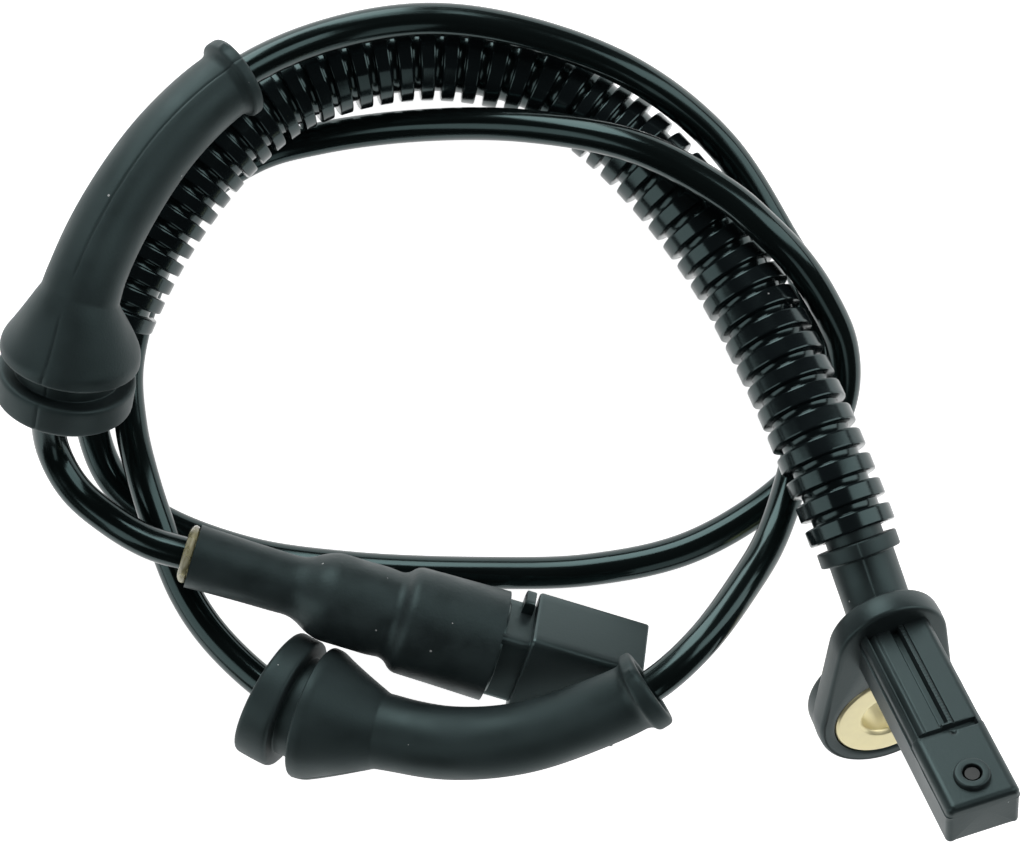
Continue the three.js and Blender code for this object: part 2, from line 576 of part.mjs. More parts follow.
function terminalLock() {
  const start = socketBottom + fitGap;
  const end = start + lock.thickness;
  const plate = roundedBar(start, end, plugInside.width - 2 * fitGap, plugInside.height - 2 * fitGap,
    socket.corner);
  const slots = [-1, 1].map((sign) => boxFrom([start - overrun, end + overrun],
    around(sign * terminal.pitch / 2, terminal.bladeWidth + 2 * fitGap),
    around(0, terminal.bladeThickness + 2 * fitGap)));
  return rolled(toGeometry(cut(toSolid(plate), ...slots)));
}

const lengthways = new THREE.Vector3(1, 0, 0);
[-1, 1].forEach((sign, i) => {
  const side = sign * terminal.pitch / 2;
  addMesh(connector, `terminal_${i + 1}`, terminalShape(side), tinnedCopper);
  const out = new THREE.Vector3(0, side, 0).applyAxisAngle(lengthways, rollAngle);
  const near = new THREE.Vector3(0, sign * core.spread / 2, 0).applyAxisAngle(lengthways, rollAngle);
  const points = [
    [cableInside + fitGap, near.y, near.z],
    [cableInside + 2, near.y, near.z],
    [sealStart - 1, out.y, out.z],
    [sealStart + 2, out.y, out.z],
    [terminalStart - fitGap, out.y, out.z],
  ];
  const strand = wire(points, core.diameter, core.sides, 14);
  addMesh(connector, `plug_core_wire_${i + 1}`, strand, coreInsulation[i]);
});
addMesh(connector, 'terminal_lock', terminalLock(), sealSilicone);

export default object;
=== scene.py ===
"""Wheel speed sensor with its looped cable: the looks of the object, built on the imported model.

Lengths in the tables and shape functions are millimetres in the coil's own coordinates, as in the
part's source. make_piece turns them into metres in the frame's coordinates.
"""
import json
import math

import bpy
import numpy as np
from bpy.props import FloatProperty, FloatVectorProperty, PointerProperty
from bpy.types import Operator, Panel, PropertyGroup
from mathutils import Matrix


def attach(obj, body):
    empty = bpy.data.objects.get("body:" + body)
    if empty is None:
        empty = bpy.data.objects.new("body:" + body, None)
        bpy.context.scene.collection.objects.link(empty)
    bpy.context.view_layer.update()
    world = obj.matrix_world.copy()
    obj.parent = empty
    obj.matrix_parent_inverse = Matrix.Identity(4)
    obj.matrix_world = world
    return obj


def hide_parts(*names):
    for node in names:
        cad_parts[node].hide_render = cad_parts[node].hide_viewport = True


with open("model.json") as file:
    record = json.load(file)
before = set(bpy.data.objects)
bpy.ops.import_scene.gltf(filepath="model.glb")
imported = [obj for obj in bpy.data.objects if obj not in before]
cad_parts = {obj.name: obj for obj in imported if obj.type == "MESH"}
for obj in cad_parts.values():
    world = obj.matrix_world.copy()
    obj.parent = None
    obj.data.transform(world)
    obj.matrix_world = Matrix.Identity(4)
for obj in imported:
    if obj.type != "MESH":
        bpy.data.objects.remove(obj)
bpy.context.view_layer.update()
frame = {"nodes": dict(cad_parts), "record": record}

bl_info = {
    "name": "Wheel Speed Sensor",
    "version": (1, 0, 0),
    "blender": (4, 5, 0),
    "location": "View3D > Sidebar > Sensor",
    "description": "Builds a wheel speed sensor with its looped cable, conduit and connector",
    "category": "Object",
}

# Middle of the rigid pieces in the coil's coordinates, in mm
COIL_MIDDLE = np.array([-2.28, 1.63, 0.0])

# Height of the photograph's camera over the table, its sensor and its lens, in mm
CAMERA_HEIGHT = 450.0
CAMERA_SENSOR = 36
CAMERA_LENS = CAMERA_SENSOR * 2917 / 1024

CABLE_ROUTE = [
    # neck and conduit, up the right side, over the top and down the left
    [52.95, -24.2, 20.2], [51, -18.5, 20], [45.9, -4.8, 17.8], [40.7, 7.9, 14.2],
    [33.5, 22.3, 10], [24.5, 35, 7.8], [14.8, 45, 6.9], [3.5, 52.5, 6.9], [-10.9, 55.3, 7.7],
    [-24.5, 53.6, 9], [-34.9, 49.2, 10.6], [-43.7, 41.8, 11.9], [-53.9, 28.3, 12.4],
    [-60.8, 14.5, 11.8],
    # low strand along the bottom
    [-63.9, 6.3, 7.9], [-64, -1.3, 4.5], [-61.2, -8.7, 2.9], [-54.7, -14.6, 2.7],
    [-40.9, -20, 2.7], [-25.6, -22.3, 2.7], [-4.3, -23.2, 2.7], [12, -22.7, 2.7],
    [26.7, -19.5, 2.7], [38.9, -12.6, 2.7],
    # right side, then over the conduit and back to the left below it
    [46.5, -5.1, 2.8], [50.4, 3.9, 4.6], [50, 11.6, 7.7], [46.5, 18.6, 11.6], [42.3, 24.1, 14.9],
    [37.6, 28.7, 16.8], [31.6, 33.7, 17.6], [18.4, 40.7, 17.6], [2.7, 44.2, 13.2], [-14, 45, 6.6],
    [-29.4, 43.4, 3.1], [-39.4, 40.6, 2.7], [-49.4, 33.4, 2.7], [-55.8, 20.9, 2.7],
    [-58.9, 8.7, 2.8],
    # over the low strand and through the lower grommet
    [-58.1, -0.5, 5.2], [-56.1, -8, 7.6], [-53.5, -15.8, 8.3], [-49.4, -26.3, 7.6],
    [-44.2, -33.5, 8.4], [-35.2, -41, 10.7], [-29.1, -43.4, 12.2], [-19.3, -46.2, 14.8],
    [-9.2, -47.7, 17.2], [1, -46.7, 19.8], [11.1, -43.3, 22.4], [20.3, -38.6, 24.8],
    # outer strand, up the right side and over the top
    [27.5, -32.4, 23.6], [34.7, -23.7, 17.6], [38.6, -17.9, 13.2], [42.2, -9, 8.8],
    [44.5, 1, 5.7], [46.1, 11, 3], [45.1, 20.9, 2.7], [41, 28.6, 3.3], [31.9, 41.9, 7],
    [18.6, 51.7, 13.5], [2.7, 57.6, 16.4], [-12.2, 59.7, 17], [-26.9, 57.1, 19.3],
    # through the upper grommet and round to the connector
    [-39.7, 50.7, 24.2], [-49.4, 41.4, 28.4], [-57.3, 29.1, 31.2], [-61.7, 18.7, 32.1],
    [-65.3, 11.2, 27.9], [-68, 3.8, 22], [-68.5, -4, 15], [-65.5, -10, 13.4],
    [-60.1, -14.7, 13.3], [-54.1, -18.1, 14.1], [-47.64, -20.08, 14.4], [-32.4, -24.7, 13.2],
]
LOWER_AXIS = [
    [-37.3, -40.2, 10.2], [-33.2, -42.3, 11.2], [-29.2, -43.8, 12.2], [-19.3, -46.2, 14.8],
    [-9.2, -47.7, 17.2], [1, -46.7, 19.8], [11.1, -43.3, 22.4], [20.3, -38.6, 24.8],
    [27.5, -32.4, 23.6],
]
UPPER_AXIS = [
    [-65.7, 3.6, 23.0], [-63.9, 10.3, 27.7], [-61.7, 18.7, 32.1], [-57.3, 29.1, 31.2],
    [-49.4, 41.4, 28.4], [-39.7, 50.7, 24.2], [-26.9, 57.1, 19.3],
]
HEAD_PLACE = {"at": (55.85, -32.42, 24.61), "heading": -66.8, "tilt": 41.4, "roll": -10}
PLUG_ROLL = math.radians(36.2)

# Sizes shared by more than one piece, in mm
CABLE_RING, CABLE_SIDES = 0.75, 28
CONDUIT_START = 8.15
CONDUIT_BORE = 9.4
NECK_SPIGOT = 6.0
FLANGE = {"radius": 8.6, "thickness": 4.0, "side": -0.3, "over": -0.9}
BUSH = {"outer": 16.8, "bore": 8.0, "length": 6.4, "side": -1.05, "drop": -16.9}
EAR_WALL = 2.05
EAR_HOLE = BUSH["outer"] / 2 + 0.12
EAR_RIM = BUSH["outer"] / 2 + 0.35 + EAR_WALL
SHANK = {"length": 32.4, "width": 10.9, "depth": 8.0}
PAD_START = SHANK["length"] - 12.45
BOSS_FROM_END = 4.45
SLEEVE_END = 47.2
PLUG_START = 51.5
PLUG_END = 68.7
PLUG_WIDTH, PLUG_HEIGHT = 16.0, 12.0
RIBS = 47
# Where ribs stand: a rib's number, and its distance from the conduit's start
RIB_PLACES = np.array([[0, 0], [4, 15.4], [18, 70.4], [21, 79.6], [25, 95.4], [33, 123.9],
                       [47, 170.7]])

# Directions of the mould lines round the conduit and the neck
CONDUIT_SEAM, NECK_SEAM = 1.25, 1.5
# Angle between faces from which an edge stays sharp
SHARP_ANGLE = math.radians(38)

# Looks: tints of the reflections, and the colour of dust
BLACK_TINT, JACKET_TINT = (0.68, 1.0, 1.0), (0.65, 1.0, 1.0)
DUST_COLOUR = (0.35, 0.36, 0.36)

# Soft panels: place on the compass, degrees above the table, width, length, share of light
PANELS = [(200, 34, 0.45, 0.9, 0.6), (20, 36, 0.45, 0.9, 0.9), (105, 22, 0.5, 0.9, 1.8),
          (290, 30, 0.3, 0.6, 0.3)]
PANEL_DISTANCE = 0.9
TABLE_HALF = 3.0


# ---- paths and surfaces

def unit(vectors):
    """Vectors divided by their lengths."""
    return vectors / np.linalg.norm(vectors, axis=-1, keepdims=True)


def dense_curve(points, per_span=60):
    """Points along a centripetal Catmull-Rom curve through the given points.

    Each span is a cubic whose end slopes come from the neighbouring points, with the spans timed by
    the square root of their lengths, and the curve goes straight on past its two ends.
    """
    p = np.asarray(points, float)
    p = np.vstack([2 * p[0] - p[1], p, 2 * p[-1] - p[-2]])
    times = np.linalg.norm(np.diff(p, axis=0), axis=1)[:, None] ** 0.5
    a, b, c = times[:-2], times[1:-1], times[2:]
    start = ((p[1:-2] - p[:-3]) / a - (p[2:-1] - p[:-3]) / (a + b) + (p[2:-1] - p[1:-2]) / b) * b
    end = ((p[2:-1] - p[1:-2]) / b - (p[3:] - p[1:-2]) / (b + c) + (p[3:] - p[2:-1]) / c) * b
    low, high = p[1:-2], p[2:-1]
    t = np.linspace(0, 1, per_span, endpoint=False)[None, :, None]
    square = (-3 * low + 3 * high - 2 * start - end)[:, None]
    cube = (2 * low - 2 * high + start + end)[:, None]
    spans = low[:, None] + start[:, None] * t + square * t ** 2 + cube * t ** 3
    return np.vstack([spans.reshape(-1, 3), high[-1]])


class Path:
    """A curve in space with a side and an upright direction at each length along it."""

    def __init__(self, points):
        self.line = dense_curve(points)
        steps = np.linalg.norm(np.diff(self.line, axis=0), axis=1)
        self.run = np.concatenate([[0], np.cumsum(steps)])
        self.length = self.run[-1]
        self.ahead = unit(np.gradient(self.line, self.run, axis=0))

    def place(self, along, side, over):
        """Point at that length along the curve, moved to its side and over it.

        Side is level and square to the curve, and over is square to both. Past an end the curve
        goes straight on.
        """
        along, side, over = np.broadcast_arrays(along, side, over)
        inside = np.clip(along, 0, self.length)
        at = np.stack([np.interp(inside, self.run, self.line[:, k]) for k in range(3)], -1)
        ahead = unit(np.stack([np.interp(inside, self.run, self.ahead[:, k])
                               for k in range(3)], -1))
        sideways = unit(np.cross([0.0, 0.0, 1.0], ahead))
        upright = np.cross(ahead, sideways)
        return (at + ahead * (along - inside)[..., None] + sideways * side[..., None]
                + upright * over[..., None])


class Placed:
    """Straight axis from a point on a heading and a tilt, rolled about itself, in degrees."""

    def __init__(self, at, heading, tilt, roll=0.0):
        heading, tilt, roll = (math.radians(a) for a in (heading, tilt, roll))
        self.at = np.array(at, float)
        self.x = np.array([math.cos(tilt) * math.cos(heading), math.cos(tilt) * math.sin(heading),
                           math.sin(tilt)])
        level = np.array([-math.sin(heading), math.cos(heading), 0.0])
        upright = np.cross(self.x, level)
        self.y = level * math.cos(roll) + upright * math.sin(roll)
        self.z = upright * math.cos(roll) - level * math.sin(roll)

    def place(self, along, side, over):
        """Point at those distances along the axis, to its side and over it."""
        along, side, over = np.broadcast_arrays(along, side, over)
        return (self.at + along[..., None] * self.x + side[..., None] * self.y
                + over[..., None] * self.z)


def rounded(corners, radii, closed, steps):
    """Outline whose corners are replaced by short curves that start a radius before the corner.

    Each curve is the parabola that leaves one edge and meets the next, and a radius is cut to
    just under half of the shorter edge beside it.
    """
    p = corners
    into, out = np.roll(p, 1, 0) - p, np.roll(p, -1, 0) - p
    into_length, out_length = (np.linalg.norm(v, axis=1) for v in (into, out))
    reach = np.minimum(radii, 0.48 * np.minimum(into_length, out_length))
    first = p + into / into_length[:, None] * reach[:, None]
    last = p + out / out_length[:, None] * reach[:, None]
    t = np.linspace(0, 1, steps)[None, :, None]
    curve = (1 - t) ** 2 * first[:, None] + 2 * t * (1 - t) * p[:, None] + t ** 2 * last[:, None]
    if closed:
        return curve.reshape(-1, 2)
    return np.vstack([p[:1], curve[1:-1].reshape(-1, 2), p[-1:]])


def refined(outline, step, closed=True):
    """The same outline with points added, so that none are further apart than the step."""
    loop = np.vstack([outline, outline[:1]]) if closed else outline
    run = np.concatenate([[0], np.cumsum(np.linalg.norm(np.diff(loop, axis=0), axis=1))])
    kept = np.concatenate([[True], np.diff(run) > 1e-6])
    loop, run = loop[kept], run[kept]
    more = np.concatenate([np.linspace(a, b, max(2, int(np.ceil((b - a) / step)) + 1))[:-1]
                           for a, b in zip(run[:-1], run[1:])] + [run[-1:]])
    out = np.stack([np.interp(more, run, loop[:, k]) for k in range(2)], -1)
    return out[:-1] if closed else out


def smooth_profile(rows, step, steps=6, closed=True):
    """Profile through rows of [along, radius, corner radius], its corners round, finely stepped."""
    rows = np.asarray(rows, float)
    return refined(rounded(rows[:, :2], rows[:, 2], closed, steps), step, closed)


def grid_faces(rows, columns, wrap_rows):
    """Four-sided faces of a grid of points, joined round its columns, and its rows if they wrap."""
    r = np.arange(rows if wrap_rows else rows - 1)[:, None]
    c = np.arange(columns)[None, :]
    next_r, next_c = (r + 1) % rows, (c + 1) % columns
    corners = [r * columns + c, r * columns + next_c, next_r * columns + next_c,
               next_r * columns + c]
    return np.stack(np.broadcast_arrays(*corners), -1).reshape(-1, 4)


def shell(points, wrap_rows=True, uv=None):
    """Closed surface of a grid of points: rows run along the piece and columns round it.

    Rows that don't wrap are closed by a fan of triangles to the middle of each end row.
    """
    rows, columns = points.shape[:2]
    quads = grid_faces(rows, columns, wrap_rows)
    vertices = points.reshape(-1, 3)
    triangles = np.zeros((0, 3), int)
    if not wrap_rows:
        middle = len(vertices)
        vertices = np.vstack([vertices, points[0].mean(0), points[-1].mean(0)])
        ring = np.arange(columns)
        following = (ring + 1) % columns
        last = (rows - 1) * columns
        triangles = np.vstack([
            np.stack([following, ring, np.full(columns, middle)], -1),
            np.stack([last + ring, last + following, np.full(columns, middle + 1)], -1),
        ])
    a, b, c, d = (vertices[quads[:, k]] for k in range(4))
    volume = (a * np.cross(b, c)).sum() + (a * np.cross(c, d)).sum()
    a, b, c = (vertices[triangles[:, k]] for k in range(3))
    volume += (a * np.cross(b, c)).sum()
    if volume < 0:
        quads, triangles = quads[:, ::-1], triangles[:, ::-1]
    if uv is not None:
        uv = np.vstack([uv.reshape(-1, 2), uv[0, 0], uv[-1, 0]])
    return vertices, quads, triangles, uv


def turned(path, profile, sides, start=0.0, relief=None, seam=0.0):
    """Points of a profile of [along, radius] carried round the path, its length bent onto it.

    A point lies at start + along on the path, and radius times cosine and sine of its angle to
    the side and over it. The relief function gives what is added to the radius.
    """
    along = profile[:, 0][:, None]
    angle = (np.arange(sides) / sides * 2 * np.pi + seam)[None, :]
    radius = profile[:, 1][:, None] + np.zeros_like(angle)
    if relief is not None:
        radius = radius + relief(along, angle, profile[:, 1][:, None])
    return path.place(start + along, radius * np.cos(angle), radius * np.sin(angle))


def add_wrap(mesh, uv, *face_sets):
    """Adds the wrap layer, in which faces across its seam run on past 1."""
    parts = [uv[faces] for faces in face_sets]
    for part in parts:
        u = part[..., 0]
        torn = (u.max(1, keepdims=True) - u.min(1, keepdims=True)) > 0.5
        u[:] = np.where(torn & (u < 0.5), u + 1, u)
    layer = mesh.uv_layers.new(name="Wrap")
    flat = np.concatenate([part.ravel() for part in parts])
    layer.data.foreach_set("uv", flat.astype(np.float32))


def make_piece(name, shells, material, node):
    """Joins shells into one mesh object in metres that rides on the root and replaces a node."""
    counts = np.cumsum([0] + [len(s[0]) for s in shells])
    vertices = np.vstack([s[0] for s in shells]) - COIL_MIDDLE
    quads = np.vstack([s[1] + n for s, n in zip(shells, counts)])
    triangles = np.vstack([s[2] + n for s, n in zip(shells, counts)])
    mesh = bpy.data.meshes.new(name)
    mesh.from_pydata((vertices / 1000).tolist(), [], [*quads.tolist(), *triangles.tolist()])
    if all(s[3] is not None for s in shells):
        add_wrap(mesh, np.vstack([s[3] for s in shells]), quads, triangles)
    mesh.update(calc_edges=True)
    mesh.validate()
    mesh.polygons.foreach_set("use_smooth", np.ones(len(mesh.polygons), bool))
    mesh.set_sharp_from_angle(angle=SHARP_ANGLE)
    mesh.materials.append(material)
    piece = bpy.data.objects.new(name, mesh)
    bpy.context.scene.collection.objects.link(piece)
    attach(piece, "root")
    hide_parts(node)


def wobble(along, angle, seed, size, turns=3):
    """Smooth unevenness between -1 and 1: sine waves along and round the piece, added up."""
    rng = np.random.default_rng(seed)
    total = 0.0
    for k in range(1, turns + 2):
        phase = rng.uniform(0, 2 * np.pi, 2)
        length = size * rng.uniform(0.6, 1.6)
        total = total + np.sin(k * angle + phase[0]) * np.sin(2 * np.pi * along / length + phase[1])
    return total / (turns + 1)


def ridge(distance, width):
    """Bell-shaped bump, 1 high at no distance."""
    return np.exp(-(distance / width) ** 2)


def turn_from(angle, centre):
    """Angle from a centre, between minus half a turn and half a turn."""
    return (angle - centre + np.pi) % (2 * np.pi) - np.pi


def two_seams(angle, centre, width):
    """Bell-shaped lines on two opposite sides."""
    return ridge(turn_from(angle, centre), width) + ridge(turn_from(angle, centre + np.pi), width)


# ---- cable and conduit

def cable_tube(path, radius):
    """Round tube along the whole route, with rings at even lengths and both ends closed.

    Its wrap goes from 0 to 1 round the cable and rises by 1 for each 100 mm along it.
    """
    along = np.append(np.arange(0, path.length, CABLE_RING), path.length)
    points = turned(path, np.stack([along, np.full(len(along), radius)], -1), CABLE_SIDES)
    turn = (np.arange(CABLE_SIDES) / CABLE_SIDES)[None, :]
    wrap = np.stack(np.broadcast_arrays(turn, along[:, None] / 100), -1)
    return shell(points, wrap_rows=False, uv=wrap)


def conduit_tube(path, sizes):
    """Corrugated tube: one rib's profile repeated, with a plain bore behind it.

    A rib rises steeply from the valley, turns over a small corner, and runs flat along the crest.
    Its ends have the same profile, mirrored. A mould line crosses the crests on two sides.
    """
    crest, root, bore = sizes.conduit_crest * 500, sizes.conduit_root * 500, CONDUIT_BORE / 2
    numbers = np.arange(RIBS)
    starts = np.interp(numbers, *RIB_PLACES.T)
    pitches = 2 * (np.interp(numbers + 0.5, *RIB_PLACES.T) - starts)
    foot, lip = 0.25, 0.12
    rise = [[-foot, root], [-0.08, root + 0.06], [-0.02, root + 0.25], [0.03, crest - 0.25],
            [lip, crest - 0.07], [2.4 * lip, crest], [3.0 * lip, crest]]
    outer = []
    for start, flat in zip(starts, pitches * sizes.crest_share):
        fall = [[flat - x, radius] for x, radius in rise[::-1]]
        outer.append(np.array([*rise, *fall]) + [start, 0.0])
    outer = np.vstack(outer)[2:-2]
    bore_rings = 120
    inner = np.stack([np.linspace(outer[-1, 0], outer[0, 0], bore_rings),
                      np.full(bore_rings, bore)], -1)

    def relief(along, angle, radius):
        on_crest = np.clip((radius - crest + 0.5) / 0.5, 0, 1)
        uneven = 0.012 * wobble(along, angle, seed=4, size=60) * (radius > bore + 0.1)
        return 0.07 * two_seams(angle, CONDUIT_SEAM, 0.03) * on_crest + uneven

    return shell(turned(path, np.vstack([outer, inner]), sides=72, start=CONDUIT_START,
                        relief=relief, seam=CONDUIT_SEAM))


# ---- grommets

def grommet(path, start, crease, end, seam_at, seed):
    """Grommet: disc, groove and hollow cone, then a tail tube to a rolled lip, bent on its axis.

    Start, crease and end are lengths along the axis: the disc's face, the foot of the cone and the
    lip's end. A mould seam runs along it on two sides, and the lip has a small nub.
    """
    profile = smooth_profile([
        [start, 6.2, 0.4], [start, 10.1, 0.8], [start + 4.8, 10.1, 0.8], [start + 4.8, 7.7, 0.25],
        [start + 7.6, 7.7, 0.25], [start + 7.6, 10.2, 0.45], [start + 9.3, 10.1, 0.7],
        [crease, 5.75, 0.3], [crease + 3.6, 5.55, 1.0], [end - 5.3, 5.05, 1.0],
        [end - 3.1, 5.0, 0.8], [end - 2.3, 5.4, 0.5], [end - 1.9, 6.15, 0.8],
        [end, 6.15, 0.8], [end, 4.3, 0.5], [end - 4.0, 3.5, 1.0], [crease, 3.5, 1.0],
        [start + 9.4, 6.2, 1.0],
    ], step=0.7)

    def relief(along, angle, radius):
        outside = radius > np.where(along < 20, 6.5, 4.4)
        nub = 0.5 * ridge(along - end + 1.0, 0.55) * ridge(turn_from(angle, 0.9), 0.11)
        uneven = 0.06 * wobble(along, angle, seed, size=24)
        return (nub + uneven - 0.13 * two_seams(angle, seam_at, 0.022)) * outside

    return shell(turned(path, profile, sides=240, relief=relief, seam=seam_at))


# ---- connector

def plug_axis():
    """Straight axis of the connector, on from the route's last two points."""
    mouth, end = np.array(CABLE_ROUTE[-2], float), np.array(CABLE_ROUTE[-1], float)
    run = end - mouth
    heading = math.degrees(math.atan2(run[1], run[0]))
    tilt = math.degrees(math.atan2(run[2], math.hypot(run[0], run[1])))
    return Placed(mouth, heading, tilt)


def sleeve_tube(axis):
    """Heat-shrink sleeve: waist, collar and barrel as one film drawn over them, with creases."""
    corners = np.array([
        [0.0, 4.85, 0.3], [3.0, 4.75, 1.0], [12.0, 4.55, 3.0], [16.4, 4.5, 1.5],
        [19.4, 6.2, 1.0], [21.2, 6.75, 0.8], [29.0, 6.8, 1.2], [31.4, 6.5, 1.2],
        [33.0, 8.2, 1.0], [SLEEVE_END, 8.5, 0.2],
    ])
    outer = smooth_profile(corners, step=0.35, steps=7, closed=False)
    film = 0.9
    inner = outer[::-1] - np.array([0.0, film])

    def relief(along, angle, radius):
        outside = radius > np.interp(along, corners[:, 0], corners[:, 1]) - 0.5
        cling = 0.10 * np.cos(2 * (angle - PLUG_ROLL)) * ridge(along - SLEEVE_END, 9)
        creases = 0.10 * wobble(along, angle, seed=11, size=9, turns=6) * ridge(along - 18, 9)
        uneven = 0.05 * wobble(along, angle, seed=12, size=21, turns=5)
        return (cling + creases + uneven) * np.where(outside, 1, 0.4)

    return shell(turned(axis, np.vstack([outer, inner]), sides=96, relief=relief))


def adhesive_ring(axis):
    """Ring of melted adhesive at the sleeve's mouth, lumpy, with a drop on its lower side."""
    profile = smooth_profile([
        [-1.5, 2.86, 0.1], [-1.5, 3.5, 0.4], [-0.9, 4.3, 0.6], [-0.1, 4.35, 0.3],
        [-0.1, 3.45, 0.1], [1.3, 3.45, 0.1], [1.3, 2.86, 0.1],
    ], step=0.25, steps=5)

    def relief(along, angle, radius):
        outside = (radius > 3.2) & (along < 0)
        drop = 0.5 * ridge(turn_from(angle, -0.4), 0.45) * ridge(along + 1.0, 0.7)
        return (0.16 * wobble(along, angle, seed=21, size=3, turns=5) + drop) * outside

    return shell(turned(axis, profile, sides=64, relief=relief))


def rounded_rectangle(width, height, corner, per_corner=6, per_side=8):
    """Points round a rectangle with round corners, starting at the lower right corner."""
    quarter = np.linspace(0, np.pi / 2, per_corner)
    centres = [(1, -1, -np.pi / 2), (1, 1, 0), (-1, 1, np.pi / 2), (-1, -1, np.pi)]
    arcs = [np.stack([sy * (width / 2 - corner) + corner * np.cos(quarter + turn),
                      sz * (height / 2 - corner) + corner * np.sin(quarter + turn)], -1)
            for sy, sz, turn in centres]
    loop = []
    for arc, following in zip(arcs, arcs[1:] + arcs[:1]):
        share = np.linspace(0, 1, per_side + 2)[1:-1, None]
        loop += [arc, arc[-1] * (1 - share) + following[0] * share]
    return np.vstack(loop)


def roll_section(section):
    """Section turned by the connector's roll about the axis."""
    c, s = math.cos(PLUG_ROLL), math.sin(PLUG_ROLL)
    return np.stack([section[..., 0] * c - section[..., 1] * s,
                     section[..., 0] * s + section[..., 1] * c], -1)


def swept(axis, along, sections):
    """Closed bar of rolled sections, one at each length along the connector's axis."""
    rolled = roll_section(np.stack(sections))
    return shell(axis.place(np.array(along)[:, None], rolled[..., 0], rolled[..., 1]),
                 wrap_rows=False)


def connector_shells(axis):
    """Connector: neck bar, socketed block with round edges, latch lug, and the barrel inside."""
    start, end, bottom = PLUG_START, PLUG_END, PLUG_END - 12
    neck = [[46.4, 11.6, 9.6, 0.9], [46.5, 12, 10, 0.9], [start + 0.6, 12, 10, 0.9]]
    block = [  # along, what is taken off the width and the height, corner radius
        [start, 0.9, 0.6], [start + 0.1, 0.35, 0.75], [start + 0.35, 0.06, 0.85],
        [start + 0.6, 0, 0.9], [start + 7, 0, 0.9], [end - 0.5, 0, 0.9], [end - 0.2, 0.06, 0.85],
        [end - 0.05, 0.25, 0.8], [end, 0.55, 0.7], [end, 2.9, 0.6], [end - 0.3, 3.3, 0.5],
        [end - 5, 3.4, 0.5], [bottom, 3.4, 0.5],
    ]
    block = [[s, PLUG_WIDTH - less, PLUG_HEIGHT - less, corner] for s, less, corner in block]
    lug_width, lug_side, lug_over = 3.0, 6, -3.5
    lug = [[49.4, 1.0], [49.45, 1.9], [49.6, 2.25], [50.8, 2.25], [51.0, 2.1], [51.1, 1.5]]
    lug_sections = [rounded_rectangle(reach + 0.6, lug_width, 0.3, 4, 4)
                    + [lug_side + (reach - 0.6) / 2, lug_over] for _, reach in lug]
    barrel = smooth_profile([[21.6, 3.9, 0.15], [21.6, 5.2, 0.15], [33.4, 5.2, 0.15],
                             [33.5, 7.0, 0.15], [47.7, 7.05, 0.15], [47.8, 3.9, 0.15]],
                            step=2.0, steps=4)
    bars = [swept(axis, [row[0] for row in rows], [rounded_rectangle(*row[1:]) for row in rows])
            for rows in (neck, block)]
    return [*bars, swept(axis, [row[0] for row in lug], lug_sections),
            shell(turned(axis, barrel, sides=48))]


# ---- sensor head

def head_axis():
    """Axis of the sensor head, along its shank from the flange's front face."""
    return Placed(**HEAD_PLACE)


def neck_tube(route, head):
    """Neck: from the flange it bends onto the cable's route, with a collar and a thin spigot."""
    front = head.place(0.0, 0.0, 0.0)
    back = head.place(-FLANGE["thickness"], 0.0, 0.0)
    on_route = [route.place(s, 0.0, 0.0)
                for s in (0.0, CONDUIT_START, CONDUIT_START + NECK_SPIGOT)]
    path = Path([front, back, *on_route])
    collar_end = path.length - NECK_SPIGOT - 1.25
    collar_start = collar_end - 2.3
    profile = smooth_profile([
        [1.0, 4.95, 0.1], [3.6, 5.0, 0.6], [4.6, 4.95, 1.4], [collar_start, 4.95, 0.3],
        [collar_start, 6.12, 0.3], [collar_end, 6.12, 0.3], [collar_end, 4.35, 0.15],
        [path.length, 4.33, 0.3], [path.length, 3.25, 0.2], [1.0, 3.25, 0.1],
    ], step=0.6)

    def relief(along, angle, radius):
        seam = ridge(turn_from(angle, NECK_SEAM), 0.025)
        return (0.03 * wobble(along, angle, seed=31, size=12) - 0.1 * seam) * (radius > 4.6)

    return shell(turned(path, profile, sides=180, relief=relief, seam=NECK_SEAM))


def plate_outline(angle):
    """Distance from the ear's middle to the plate's edge in a direction.

    The edge is a band drawn round two circles, the flange and the ear's rim, with points filled
    in along its two straight stretches.
    """
    aside, above = FLANGE["side"] - BUSH["side"], FLANGE["over"] - BUSH["drop"]
    away = math.hypot(aside, above)
    towards = math.atan2(above, aside)
    spread = math.acos((EAR_RIM - FLANGE["radius"]) / away)
    turn = np.linspace(-np.pi, np.pi, 1441)
    on_flange = np.abs(turn) < spread
    edge = np.where(on_flange[:, None], [[away, 0.0]], [[0.0, 0.0]])
    radius = np.where(on_flange, FLANGE["radius"], EAR_RIM)
    edge = refined(edge + radius[:, None] * np.stack([np.cos(turn), np.sin(turn)], -1), 0.1)
    direction = np.arctan2(edge[:, 1], edge[:, 0])
    order = np.argsort(direction)
    distance = np.hypot(edge[:, 0], edge[:, 1])
    return np.interp(turn_from(angle, towards), direction[order], distance[order],
                     period=2 * np.pi)


def about_bush(head, along, radius, angle):
    """Closed surface of points at a radius and angle round the bush's axis."""
    return shell(head.place(along + 0 * angle, BUSH["side"] + radius * np.cos(angle),
                            BUSH["drop"] + radius * np.sin(angle)))


def whole_turn(sides):
    """Angles of a whole turn, as a row."""
    return np.linspace(0, 2 * np.pi, sides, endpoint=False)[None, :]


